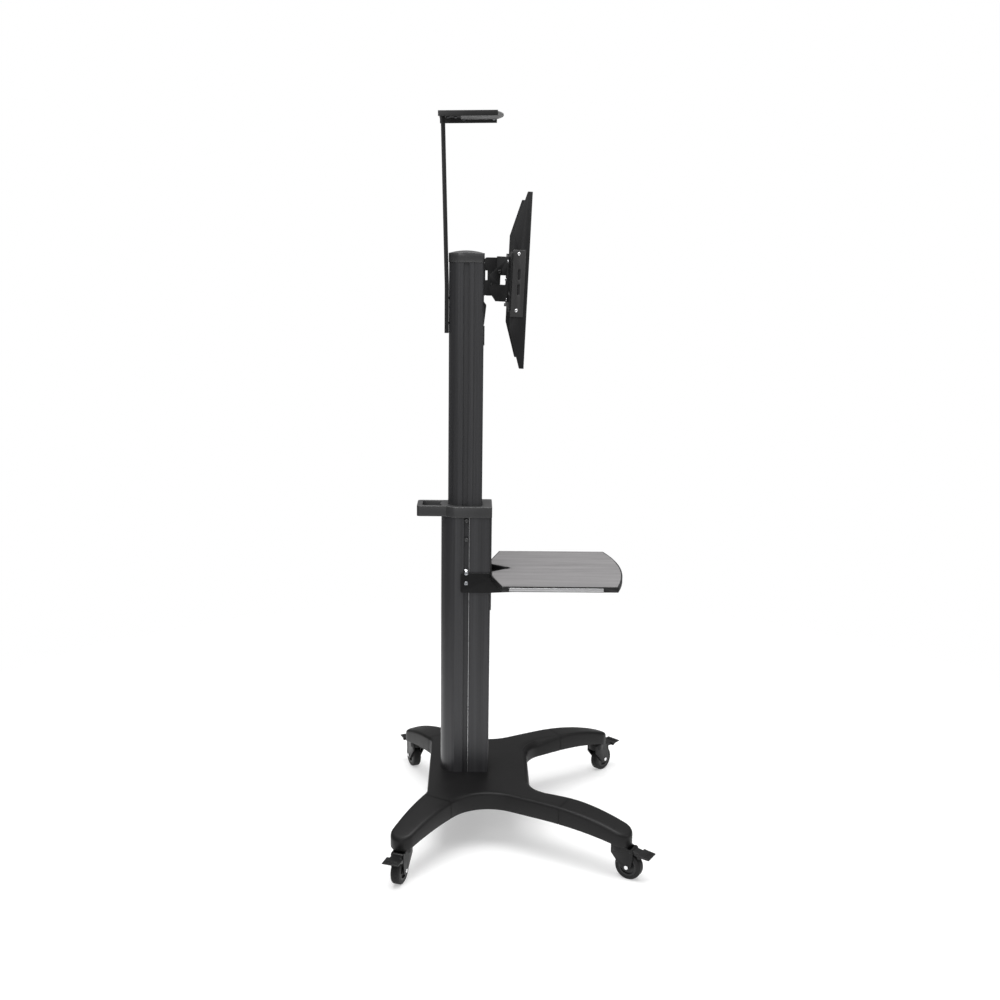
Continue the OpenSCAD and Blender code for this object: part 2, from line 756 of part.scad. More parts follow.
module upper_glide() color("#1f1f20") at_column() translate([0, 0, upper_bottom])
    linear_extrude(glide_h) difference() {
        lower_cavity(run_gap);
        upper_plan(glide_lip);
    }
module top_cap() color("#2a2a2b") at_column() {
    translate([0, 0, upper_top - cap_skirt]) linear_extrude(cap_skirt) difference() {
        upper_plan(cap_wall);
        upper_plan(fit_gap);
    }
    translate([0, 0, upper_top]) {
        linear_extrude(cap_side) upper_plan(cap_wall);
        intersection() {
            linear_extrude(cap_rise) upper_plan(cap_wall);
            translate([0, upper_y, cap_rise - cap_dome_r]) sphere(cap_dome_r);
        }
    }
}
// Strap on the front of the column, and the sloped clip above it
module cable_clips() color("#242425") at_column() {
    translate([0, upper_front, 0]) rotate([90, 0, 0]) linear_extrude(strap_t)
        round_rect([-clip_w / 2, strap_z[0]], [clip_w / 2, strap_z[1]], strap_round);
    rotate([90, 0, 90]) linear_extrude(clip_w, center = true) polygon([
        [upper_front, clip_z[0]], [upper_front, clip_z[1]],
        [upper_front - clip_reach, clip_z[1] - clip_slope],
        [upper_front - clip_reach, clip_z[1] - clip_slope - clip_nose],
        [upper_front - clip_tail, clip_z[0]]]);
}
// Side cheek of the column bracket, in distance from the column and height
module bracket_cheek() difference() {
    round_rect([-upper_front, bracket_low], [bracket_reach - upper_front, bracket_high],
        bracket_corner_r);
    translate([-upper_front - over, bracket_back_high])
        square([cap_wall + run_gap + over, bracket_high]);
    translate([bracket_slot[0][0], bracket_slot[1][0]])
        square([bracket_slot[0][1] - bracket_slot[0][0], bracket_slot[1][1] - bracket_slot[1][0]]);
    translate([window_y[0] - window_play, window_z[0] - window_play])
        square([bracket_reach, window_z[1] - window_z[0] + 2 * window_play]);
    translate([pivot_reach, pivot_z]) circle(pivot_r + shaft_play);
}
// Stands a drawing of distance from the column and height upright, at a distance in X
module upright(x, t) translate([x, 0, 0]) rotate([90, 0, 90]) linear_extrude(t)
    mirror([1, 0]) children();
module column_bracket() color("#262627") at_column() {
    both_sides() upright(bracket_w / 2 - bracket_t, bracket_t) bracket_cheek();
    difference() {
        block([bracket_t - bracket_w / 2, upper_front - bracket_t, bracket_low],
            [bracket_w / 2 - bracket_t, upper_front, bracket_back_high]);
        for (z = bracket_screws_z) translate([0, 0, z])
            rod_y(small_screw_r, upper_front - bracket_t - over, upper_front + over);
    }
}
module bracket_screws() color("#a9aaac") at_column() {
    for (z = bracket_screws_z) translate([0, upper_front - bracket_t, z]) {
        rod_y(small_screw_r, 0, bracket_t);
        rod_y(small_head_r, -small_head_t, 0);
    }
}

// Screen head: drawn from the tilt pivot, then tilted and put at its place
module at_pivot() at_column() translate([0, -pivot_reach, pivot_z]) rotate([screen_tilt, 0, 0])
    children();
module head_cheek() difference() {
    polygon(concat([for (p = head_rear_shares) [p.x * plate_back,
        head_low + p.y * (head_high - head_low)]], [[plate_back, head_low], [plate_back, head_high]]));
    round_rect([window_y[0] - pivot_reach, window_z[0] - pivot_z],
        [window_y[1] - pivot_reach, window_z[1] - pivot_z], window_play);
    circle(pivot_r);
    translate(head_rivet) circle(small_screw_r);
}
module flange_screw_places() both_sides() for (z = flange_screws_z)
    translate([head_in + head_t + head_flange_w / 2, 0, z]) children();
module tilt_head() color("#262627") at_pivot() difference() {
    both_sides() {
        upright(head_in, head_t) head_cheek();
        block([head_in + head_t, -plate_back, head_low], [head_in + head_t + head_flange_w,
            head_t - plate_back, head_high]);
    }
    flange_screw_places() rod_y(small_screw_r, -plate_back - over, head_t - plate_back + over);
}
module tilt_bolts() color("#a9aaac") at_pivot() {
    rod_x(pivot_r, -head_in - head_t, head_in + head_t);
    both_sides() {
        translate([head_in + head_t, 0, 0]) rod_x(lock_head_r, 0, lock_head_t);
        translate([head_in + head_t, -head_rivet.x, head_rivet.y]) {
            rod_x(small_screw_r, -head_t, 0);
            rod_x(rivet_head_r, 0, rivet_head_t);
        }
    }
    flange_screw_places() {
        rod_y(small_screw_r, -plate_back - sheet_t, head_t - plate_back);
        rod_y(small_head_r, head_t - plate_back, head_t - plate_back + small_head_t);
    }
    translate([0, -plate_back, end_bolt[1]]) rod_y(end_bolt_r, 0, end_bolt[0]);
}
plate_low = plate_mid_z - plate_h / 2;
plate_high = plate_mid_z + plate_h / 2;
module screen_plate() color("#29292a") at_pivot() difference() {
    block([-plate_w / 2, -plate_back - sheet_t, plate_low], [plate_w / 2, -plate_back, plate_high]);
    both_sides() for (share = plate_window_shares)
        translate([share * plate_w / 2, 0, plate_mid_z]) rotate([90, 0, 0]) linear_extrude(arm_front)
        round_rect([-plate_window_w / 2, -plate_h / 4], [plate_window_w / 2, plate_h / 4],
        plate_window_r);
    flange_screw_places() rod_y(small_screw_r, -plate_back - sheet_t - over, over - plate_back);
}

// Screen arm: a channel with a flat front web and flanges that taper towards both ends
module arm_side() {
    polygon([[arm_front, arm_l / 2], [arm_front - arm_tip_depth, arm_l / 2],
        [arm_rear, arm_flat_share * arm_l / 2], [arm_rear, -arm_flat_share * arm_l / 2],
        [arm_front - arm_tip_depth, -arm_l / 2], [arm_front, -arm_l / 2]]);
}
// Draws the right arm's pieces, and turns them over for the left arm
module at_arm(side) at_pivot() mirror([side < 0 ? 1 : 0, 0, 0]) translate([arm_spacing / 2, 0, 0])
    children();
module screen_arm(side) color("#2b2b2c") at_arm(side) difference() {
    translate([0, 0, arm_mid_z]) difference() {
        upright(-arm_w / 2, arm_w) arm_side();
        block([arm_t - arm_w / 2, arm_t - arm_front, -arm_l], [arm_w / 2 - arm_t, 0, arm_l]);
        for (z = [-1, 1]) translate([0, 0, z * hole_spacing_z / 2])
            rod_y(screen_hole_d / 2, -arm_front - over, arm_t - arm_front + over);
        for (z = arm_slot_z) translate([0, -arm_front - over, z]) rotate([-90, 0, 0])
            linear_extrude(arm_t + 2 * over) slot_plan(arm_slot_l, screen_hole_d);
    }
    for (z = arm_screw_z) translate([0, -arm_screw_y, z]) rod_x(small_screw_r, 0, arm_w);
}
module slot_plan(l, w) {
    translate([-w / 2, (w - l) / 2]) square([w, l - w]);
    for (y = [(w - l) / 2, (l - w) / 2]) translate([0, y]) circle(w / 2);
}
module screen_arm_left() screen_arm(-1);
module screen_arm_right() screen_arm(1);
// Hook plate on the outer side of an arm, with hooks over both edges of the screen plate
tab_rear = plate_back - run_gap - hook_tab_t;
tab_low = plate_low - run_gap - hook_tab_t;
tab_high = plate_high + run_gap + hook_tab_t;
module hook_side() {
    translate([arm_rear, hook_low]) square([hook_w, hook_high - hook_low]);
    for (z = [tab_low, tab_high - hook_tab_t]) translate([tab_rear, z])
        square([arm_rear - tab_rear + over, hook_tab_t]);
    for (z = [tab_low, tab_high - hook_tab]) translate([tab_rear, z]) square([hook_tab_t, hook_tab]);
}
module hook_plate(side) color("#343435") at_arm(side) difference() {
    upright(arm_w / 2, hook_t) hook_side();
    for (z = hook_slots_z) translate([arm_w / 2 - over, -arm_rear - hook_slot_reach, z])
        rotate([90, 0, 90]) linear_extrude(hook_t + 2 * over) slot_plan(hook_slot_l, hook_slot_w);
    for (z = arm_screw_z) translate([0, -arm_screw_y, z]) rod_x(small_screw_r, 0, arm_w);
}
module hook_plate_left() hook_plate(-1);
module hook_plate_right() hook_plate(1);
module arm_screws(side) color("#b4b5b7") at_arm(side)
    for (z = arm_screw_z) translate([arm_w / 2, -arm_screw_y, z]) {
        rod_x(small_screw_r, -arm_t, hook_t);
        rod_x(small_head_r, hook_t, hook_t + small_head_t);
    }
module arm_screws_left() arm_screws(-1);
module arm_screws_right() arm_screws(1);

// Camera bar: upright in the rear slot of the column, then leaning back to the tray
// Where a point drawn on the side of the tray lies, in distance behind the column and height
function tray_point(y, z) = [tray_rear_y + y * cos(tray_tilt) + z * sin(tray_tilt),
    tray_top - y * sin(tray_tilt) + z * cos(tray_tilt)];
module camera_bar() color("#29292a") difference() {
    at_column() rotate([90, 0, 90]) linear_extrude(bar_w, center = true) polygon([
        [bar_front_y, bar_bottom], [bar_front_y + bar_depth, bar_bottom],
        [bar_front_y + bar_depth, bar_bend_z], tray_point(-bar_foot_set, -tray_t),
        tray_point(-bar_foot_set - bar_foot_l, -tray_t),
        tray_point(-bar_foot_set - bar_foot_l, -tray_t - bar_foot_t),
        tray_point(-bar_foot_set - bar_depth, -tray_t - bar_foot_t), [bar_front_y, bar_bend_z]]);
    at_column() for (z = bar_screw_z) translate([0, 0, z]) {
        rod_y(lock_shank_r, bar_front_y - over, bar_front_y + bar_depth + over);
        rod_y(lock_head_r, bar_front_y + bar_depth - lock_head_t, bar_front_y + bar_depth + over);
    }
    foot_screw_places() rod(small_screw_r, -tray_t - bar_foot_t - over, over);
}
module camera_bar_screws() color("#8d8f92") at_column() for (z = bar_screw_z) translate([0, 0, z]) {
    rod_y(lock_shank_r, upper_rear - bar_slot_depth + run_gap, bar_front_y + bar_depth);
    rod_y(lock_head_r, bar_front_y + bar_depth - lock_head_t, bar_front_y + bar_depth);
    block([run_gap - bar_slot_pocket / 2, upper_rear - bar_slot_depth + run_gap, -bar_nut_l / 2],
        [bar_slot_pocket / 2 - run_gap, upper_rear - bar_slot_lip - run_gap, bar_nut_l / 2]);
}
// Tray: drawn with its rear end at Y = 0 and its top face at Z = 0, running towards -Y
module at_tray() at_column() translate([0, tray_rear_y, tray_top]) rotate([-tray_tilt, 0, 0])
    children();
module foot_screw_places() at_tray() for (share = foot_screw_shares)
    translate([0, -bar_foot_set - share * bar_foot_l, 0]) children();
module board_screw_marks() at_tray() both_sides() for (y = [board_screw_inset,
    tray_depth - board_start - board_screw_inset])
    translate([tray_w / 2 - board_screw_inset, -board_start - y, 0]) children();
module camera_tray() color("#222223") difference() {
    at_tray() {
        difference() {
            block([-tray_w / 2, -tray_depth, -tray_t], [tray_w / 2, 0, 0]);
            block([tray_lip - tray_w / 2, -tray_depth - over, -tray_t - over],
                [tray_w / 2 - tray_lip, -board_start - tray_lip, over]);
        }
        both_sides() block([tray_w / 2 - tray_t, -tray_depth, -tray_lip], [tray_w / 2, 0, -tray_t]);
    }
    foot_screw_places() rod(small_screw_r, -tray_t - over, over);
    board_screw_marks() rod(small_screw_r, -tray_t - over, over);
}
module camera_board() color("#8a8a8b") difference() {
    at_tray() translate([0, 0, -tray_t - board_t]) linear_extrude(board_t) difference() {
        intersection() {
            translate([tray_t + fit_gap - tray_w / 2, -board_start - board_l])
                square([tray_w - 2 * tray_t - 2 * fit_gap, board_l]);
            translate([0, camera_edge_r - board_start - board_l]) circle(camera_edge_r);
        }
        translate([0, -board_start - board_l / 2]) circle(camera_hole_d / 2);
    }
    board_screw_marks() rod(small_screw_r, -tray_t - board_t - over, 0);
}
module camera_screws() color("#8d8f92") {
    foot_screw_places() {
        rod(small_screw_r, -tray_t - bar_foot_t, 0);
        rod(small_head_r, -tray_t - bar_foot_t - small_head_t, -tray_t - bar_foot_t);
    }
    board_screw_marks() {
        rod(small_screw_r, -tray_t - board_t, 0);
        rod(small_head_r, -tray_t - board_t - small_head_t, -tray_t - board_t);
    }
}

base_frame();
hub_cover();
leg_cover_front_left();
leg_cover_front_right();
leg_cover_rear_left();
leg_cover_rear_right();
caster_stems();
fork_front_left();
axle_front_left();
tyre_front_left();
wheel_front_left();
pedal_front_left();
fork_front_right();
axle_front_right();
tyre_front_right();
wheel_front_right();
pedal_front_right();
fork_rear_left();
axle_rear_left();
tyre_rear_left();
wheel_rear_left();
pedal_rear_left();
fork_rear_right();
axle_rear_right();
tyre_rear_right();
wheel_rear_right();
pedal_rear_right();
lower_column();
column_bolts();
front_cover();
glide_bush();
collar_handle();
lock_screws();
shelf_bracket_left();
shelf_bracket_right();
shelf_clamp_screws();
shelf_board();
shelf_edge();
shelf_rails();
shelf_board_screws();
upper_column();
upper_glide();
top_cap();
cable_clips();
column_bracket();
bracket_screws();
tilt_head();
tilt_bolts();
screen_plate();
screen_arm_left();
hook_plate_left();
arm_screws_left();
screen_arm_right();
hook_plate_right();
arm_screws_right();
camera_bar();
camera_bar_screws();
camera_tray();
camera_board();
camera_screws();
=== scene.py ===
import json
import math

import bmesh
import bpy
from mathutils import Matrix, Vector
from mathutils.geometry import delaunay_2d_cdt


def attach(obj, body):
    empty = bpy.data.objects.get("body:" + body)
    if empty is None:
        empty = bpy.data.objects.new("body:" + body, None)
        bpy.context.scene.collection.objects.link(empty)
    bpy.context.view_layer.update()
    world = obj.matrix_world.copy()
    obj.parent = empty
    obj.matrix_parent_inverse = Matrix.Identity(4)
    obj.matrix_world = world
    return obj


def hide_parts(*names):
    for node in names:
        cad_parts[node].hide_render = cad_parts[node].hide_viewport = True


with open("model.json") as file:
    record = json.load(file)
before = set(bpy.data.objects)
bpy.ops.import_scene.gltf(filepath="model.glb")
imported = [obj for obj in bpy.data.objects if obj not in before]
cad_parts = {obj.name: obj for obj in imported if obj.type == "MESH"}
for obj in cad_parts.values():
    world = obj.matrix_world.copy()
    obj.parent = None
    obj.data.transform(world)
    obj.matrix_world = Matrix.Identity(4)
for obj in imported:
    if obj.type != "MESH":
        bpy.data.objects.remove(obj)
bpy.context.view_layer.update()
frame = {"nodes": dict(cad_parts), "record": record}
nodes = frame["nodes"]
slotOf = {part["node"]: part["material_slot"] for part in frame["record"]["subparts"]}
bodyOf = {node: body for body, names in frame["record"]["behaviour"]["bodies"].items() for node in names}
print("frame loaded:", len(nodes), "nodes")

# How grain, cloud and lighter edges, worn and with a painted highlight, make a finish: shares, gains and limits
finishRules = {
    "fineShare": 0.5, "cloudShare": 0.5, "start": 0.25, "gain": 2.0, "cloudDetail": 3.0, "noiseRough": 0.55,
    "wearAndHighlightCloud": 0.5, "roughCloud": 0.14, "roughFine": 0.08, "smoothest": 0.05, "bump": 0.6,
    "edgeSamples": 4, "edgeGain": 2.2, "wearAndHighlightGain": 1.5, "wearAndHighlightLift": 0.1,
}
# Finishes by material slot: colour, roughness, metal share, gloss level, pattern, its depth in metres,
# its contrast, the width of its lighter edges (wear and a painted highlight) in metres and how strong they are
finishes = {
    "base_plastic": {"colour": (0.0074, 0.0072, 0.0074), "rough": 0.42, "metal": 0.0, "gloss": 0.2,
                     "pattern": "grain", "depth": 0.00012, "contrast": 0.3, "edge": 0.0024, "wearAndHighlight": 0.6},
    "spider_steel": {"colour": (0.007, 0.007, 0.007), "rough": 0.5, "metal": 0.0, "gloss": 0.3,
                     "pattern": "powder", "depth": 0.00012, "contrast": 0.14, "edge": 0.001, "wearAndHighlight": 0.2},
    "zinc_steel": {"colour": (0.36, 0.37, 0.39), "rough": 0.36, "metal": 1.0, "gloss": 0.5,
                   "pattern": "turned", "depth": 0.00004, "contrast": 0.2, "edge": 0.0005, "wearAndHighlight": 0.2},
    "fork_paint": {"colour": (0.005, 0.005, 0.0054), "rough": 0.36, "metal": 0.0, "gloss": 0.22,
                   "pattern": "powder", "depth": 0.0001, "contrast": 0.16, "edge": 0.0012, "wearAndHighlight": 0.7},
    "bright_steel": {"colour": (0.74, 0.74, 0.75), "rough": 0.22, "metal": 1.0, "gloss": 0.5,
                     "pattern": "turned", "depth": 0.00003, "contrast": 0.14, "edge": 0.0005, "wearAndHighlight": 0.2},
    "tyre_rubber": {"colour": (0.005, 0.005, 0.0053), "rough": 0.6, "metal": 0.0, "gloss": 0.3,
                    "pattern": "rubber", "depth": 0.00015, "contrast": 0.35, "edge": 0.001, "wearAndHighlight": 0.25},
    "wheel_plastic": {"colour": (0.007, 0.007, 0.0075), "rough": 0.4, "metal": 0.0, "gloss": 0.4,
                      "pattern": "grain", "depth": 0.00008, "contrast": 0.18, "edge": 0.0008, "wearAndHighlight": 0.4},
    "pedal_plastic": {"colour": (0.0045, 0.0045, 0.0048), "rough": 0.4, "metal": 0.0, "gloss": 0.3,
                      "pattern": "grain", "depth": 0.0001, "contrast": 0.18, "edge": 0.0014, "wearAndHighlight": 0.8},
    "column_aluminium": {"colour": (0.041, 0.041, 0.0435), "rough": 0.34, "metal": 0.3, "gloss": 0.4,
                         "pattern": "drawn", "depth": 0.00005, "contrast": 0.5, "edge": 0.001, "wearAndHighlight": 0.6},
    "trim_plastic": {"colour": (0.034, 0.034, 0.035), "rough": 0.36, "metal": 0.0, "gloss": 0.42,
                     "pattern": "grain", "depth": 0.00008, "contrast": 0.14, "edge": 0.003, "wearAndHighlight": 1.4},
    "glide_nylon": {"colour": (0.008, 0.008, 0.008), "rough": 0.5, "metal": 0.0, "gloss": 0.3,
                    "pattern": "grain", "depth": 0.00006, "contrast": 0.15, "edge": 0.0006, "wearAndHighlight": 0.1},
    "black_screw": {"colour": (0.011, 0.011, 0.011), "rough": 0.34, "metal": 0.3, "gloss": 0.4,
                    "pattern": "turned", "depth": 0.00003, "contrast": 0.2, "edge": 0.0005, "wearAndHighlight": 0.3},
    "bracket_paint": {"colour": (0.005, 0.005, 0.0053), "rough": 0.42, "metal": 0.0, "gloss": 0.2,
                      "pattern": "powder", "depth": 0.0001, "contrast": 0.16, "edge": 0.0014, "wearAndHighlight": 0.7},
    "shelf_laminate": {"colour": (0.172, 0.167, 0.169), "rough": 0.48, "metal": 0.0, "gloss": 0.35,
                       "pattern": "streak", "depth": 0.00004, "contrast": 0.42, "edge": 0.0045, "wearAndHighlight": 0.9},
    "shelf_rim": {"colour": (0.008, 0.008, 0.0085), "rough": 0.34, "metal": 0.0, "gloss": 0.4,
                  "pattern": "grain", "depth": 0.00005, "contrast": 0.15, "edge": 0.0016, "wearAndHighlight": 0.6},
    "rail_aluminium": {"colour": (0.62, 0.62, 0.63), "rough": 0.28, "metal": 0.9, "gloss": 0.5,
                       "pattern": "rolled", "depth": 0.00003, "contrast": 0.14, "edge": 0.0004, "wearAndHighlight": 0.2},
    "arm_paint": {"colour": (0.011, 0.011, 0.0115), "rough": 0.4, "metal": 0.0, "gloss": 0.22,
                  "pattern": "powder", "depth": 0.0001, "contrast": 0.16, "edge": 0.0014, "wearAndHighlight": 0.5},
    "hook_paint": {"colour": (0.03, 0.0295, 0.03), "rough": 0.4, "metal": 0.0, "gloss": 0.35,
                   "pattern": "powder", "depth": 0.0001, "contrast": 0.16, "edge": 0.0016, "wearAndHighlight": 0.9},
    "bar_paint": {"colour": (0.0095, 0.0095, 0.0098), "rough": 0.36, "metal": 0.0, "gloss": 0.35,
                  "pattern": "powder", "depth": 0.00009, "contrast": 0.16, "edge": 0.001, "wearAndHighlight": 0.5},
    "board_paint": {"colour": (0.25, 0.25, 0.252), "rough": 0.44, "metal": 0.0, "gloss": 0.4,
                    "pattern": "powder", "depth": 0.00008, "contrast": 0.14, "edge": 0.0006, "wearAndHighlight": 0.3},
}
# Grains of each pattern per metre along X, Y and Z, its detail and its second, larger cloud
patterns = {
    "grain": {"scale": (1500, 1500, 1500), "detail": 3.0, "cloud": (14, 14, 14)},
    "powder": {"scale": (820, 820, 820), "detail": 2.0, "cloud": (22, 22, 22)},
    "turned": {"scale": (2600, 2600, 2600), "detail": 4.0, "cloud": (160, 160, 160)},
    "rubber": {"scale": (620, 620, 620), "detail": 5.0, "cloud": (60, 60, 60)},
    "drawn": {"scale": (1400, 1400, 5), "detail": 3.0, "cloud": (70, 70, 0.6)},
    "streak": {"scale": (420, 9, 420), "detail": 6.0, "cloud": (75, 3, 75)},
    "rolled": {"scale": (1400, 14, 1400), "detail": 4.0, "cloud": (60, 3, 60)},
}


class Signal:
    # One value in a shader tree, so that sums of nodes read as sums
    def __init__(self, tree, socket):
        self.tree = tree
        self.socket = socket

    @staticmethod
    def feed(tree, node, sockets):
        # The values or links of a node's sockets
        for name, value in sockets.items():
            if isinstance(value, Signal):
                value = value.socket
            if isinstance(value, bpy.types.NodeSocket):
                tree.links.new(value, node.inputs[name])
            else:
                node.inputs[name].default_value = value

    @staticmethod
    def node(tree, kind, settings=None, sockets=None):
        # Every new node is made here: its settings first, then its sockets
        made = tree.nodes.new("ShaderNode" + kind)
        for name, value in (settings or {}).items():
            setattr(made, name, value)
        Signal.feed(tree, made, sockets or {})
        return made

    def combined(self, operation, first, second):
        maths = Signal.node(self.tree, "Math", {"operation": operation}, {0: first, 1: second})
        return Signal(self.tree, maths.outputs[0])

    def __add__(self, other):
        return self.combined("ADD", self, other)

    def __sub__(self, other):
        return self.combined("SUBTRACT", self, other)

    def __rsub__(self, other):
        return self.combined("SUBTRACT", other, self)

    def __mul__(self, other):
        return self.combined("MULTIPLY", self, other)

    __radd__ = __add__
    __rmul__ = __mul__

    def limited(self, low, high):
        raised = self.combined("MAXIMUM", self, low)
        return self.combined("MINIMUM", raised, high)


def noise(tree, scale, detail):
    place = Signal.node(tree, "TexCoord").outputs["Object"]
    stretch = Signal.node(tree, "Mapping", None, {"Vector": place, "Scale": scale}).outputs["Vector"]
    grains = Signal.node(tree, "TexNoise", None, {
        "Vector": stretch, "Scale": 1.0, "Detail": detail, "Roughness": finishRules["noiseRough"]})
    return Signal(tree, grains.outputs["Fac"])


def blended(tree, amount, first, second):
    # The factor and the two colours of a Mix node are its sockets 0, 6 and 7
    return Signal.node(tree, "Mix", {"data_type": "RGBA"}, {0: amount, 6: first, 7: second}).outputs[2]


def edgeMask(tree, width):
    # High where two faces meet, from the turn of a rounded normal against the true one
    bevel = Signal.node(tree, "Bevel", {"samples": finishRules["edgeSamples"]}, {"Radius": width})
    rounded = bevel.outputs["Normal"]
    truth = Signal.node(tree, "NewGeometry").outputs["True Normal"]
    dot = Signal.node(tree, "VectorMath", {"operation": "DOT_PRODUCT"}, {0: rounded, 1: truth})
    turn = Signal(tree, dot.outputs["Value"])
    return rounded, ((1.0 - turn) * finishRules["edgeGain"]).limited(0.0, 1.0)


def shade(colour, gain, lift=0.0):
    # A finish's colour made darker or lighter
    return (*[min(1.0, c * gain + lift) for c in colour], 1)


def finishMaterial(name, look):
    material = bpy.data.materials.new("finish_" + name)
    material.use_nodes = True
    tree = material.node_tree
    shape, rules, colour = patterns[look["pattern"]], finishRules, look["colour"]
    fine = noise(tree, shape["scale"], shape["detail"])
    cloud = noise(tree, shape["cloud"], rules["cloudDetail"])
    softNormal, edges = edgeMask(tree, look["edge"])
    mixture = fine * rules["fineShare"] + cloud * rules["cloudShare"] - rules["start"]
    mixture = (mixture * rules["gain"]).limited(0.0, 1.0)
    body = blended(tree, mixture, shade(colour, 1 - look["contrast"]), shade(colour, 1 + look["contrast"]))
    # Lighter edges: wear, and a painted highlight along every edge
    wearAndHighlight = edges * (cloud * rules["wearAndHighlightCloud"] + (1 - rules["wearAndHighlightCloud"])) * look["wearAndHighlight"]
    middle = (rules["roughCloud"] + rules["roughFine"]) / 2
    roughness = cloud * rules["roughCloud"] + fine * rules["roughFine"] + (look["rough"] - middle)
    bump = Signal.node(tree, "Bump", None, {
        "Strength": rules["bump"], "Distance": look["depth"], "Height": fine, "Normal": softNormal})
    Signal.feed(tree, tree.nodes["Principled BSDF"], {
        "Base Color": blended(tree, wearAndHighlight, body, shade(colour, rules["wearAndHighlightGain"], rules["wearAndHighlightLift"])),
        "Roughness": roughness.limited(rules["smoothest"], 1.0),
        "Metallic": look["metal"],
        "Specular IOR Level": look["gloss"],
        "Normal": bump.outputs["Normal"],
    })
    return material


materials = {slot: finishMaterial(slot, look) for slot, look in finishes.items()}
for node, part in nodes.items():
    for index in range(len(part.material_slots)):
        part.material_slots[index].material = materials[slotOf[node]]
print("finishes made:", len(materials))


def newPiece(name, mesh, body, slot, *replaced):
    piece = bpy.data.objects.new(name, mesh)
    bpy.context.scene.collection.objects.link(piece)
    if mesh.materials:
        mesh.materials.clear()
    mesh.materials.append(materials[slot])
    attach(piece, body)
    if replaced:
        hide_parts(*replaced)
    return piece


# How a node's triangles are joined: distance in metres, and angle in degrees under which faces are one
joining = {"distance": 0.00001, "angle": 1.2}


def mergedCopy(node, flatten=True):
    # A node's loose triangles as one mesh, with its flat faces made whole
    mesh = bmesh.new()
    mesh.from_mesh(nodes[node].data)
    bmesh.ops.remove_doubles(mesh, verts=mesh.verts, dist=joining["distance"])
    if flatten:
        bmesh.ops.dissolve_limit(mesh, angle_limit=math.radians(joining["angle"]), verts=mesh.verts,
                                 edges=mesh.edges)
    return mesh


def smoothed(data, sharpAngle):
    data.shade_smooth()
    data.set_sharp_from_angle(angle=math.radians(sharpAngle))
    return data


def finishedMesh(name, mesh, sharpAngle=50):
    data = bpy.data.meshes.new(name)
    mesh.to_mesh(data)
    mesh.free()
    return smoothed(data, sharpAngle)


# Moulded base covers, in millimetres from the column's axis; seams, lip and grid also have shares,
# and curves have their numbers of steps
baseForm = {
    "hubTop": 170, "hubWall": 50, "wall": 3, "frontTip": (342, -425), "rearTip": (359, 158),
    "frontTipRadius": 32, "rearTipRadius": 35, "frontRoot": (205, -200), "frontRootRadius": 42,
    "rearRoot": (205, 57), "rearRootRadius": 50, "hubRear": 103, "hubFront": -189,
    "sideFillet": 120, "notchFillet": 90, "rearFillet": 60, "archStart": 272, "archTop": 576,
    "archBottom": 880, "frontSeam": 0.36, "rearSeam": 0.16, "seamGap": 2.0, "setBack": 150,
    "edge": 9, "notchEdge": (34, 20), "edgeSteps": 6, "lip": 1.2, "lipShare": 0.3, "gridStep": 16,
    "gridX": (-26, 27), "gridY": (-30, 14), "gridClear": 0.45, "columnGap": 0.3, "column": (116, 140),
    "skirtLeast": 2, "skirtDrop": 17, "skirtRise": 0.4, "blendStart": 0.45, "near": 0.00001,
    "straightSteps": 12, "rearFilletSteps": 8, "tipSteps": 22, "sideSteps": 18, "notchSteps": 14,
}
# Outline of the column: radius and steps of its corners, and its round back
columnForm = {"corner": 6.0, "cornerSteps": 6, "roundShare": 1.07, "backSteps": 32}


# Plan of the base, repeated from the part's own rules
def turned(v):
    return Vector((-v.y, v.x))


def tangentNormal(c1, r1, c2, r2, side):
    line = c2 - c1
    share = (r1 - r2) / line.length
    return line.normalized() * share + turned(line.normalized()) * side * math.sqrt(1 - share ** 2)


def meet(p, n, q, m):
    det = n.x * m.y - n.y * m.x
    return Vector(((p.dot(n) * m.y - q.dot(m) * n.y) / det, (n.x * q.dot(m) - m.x * p.dot(n)) / det))


def arcPoints(centre, radius, start, end, steps):
    angles = [start + (end - start) * i / steps for i in range(steps + 1)]
    return [centre + radius * Vector((math.cos(a), math.sin(a))) for a in angles]


def angleOf(v):
    return math.atan2(v.y, v.x)


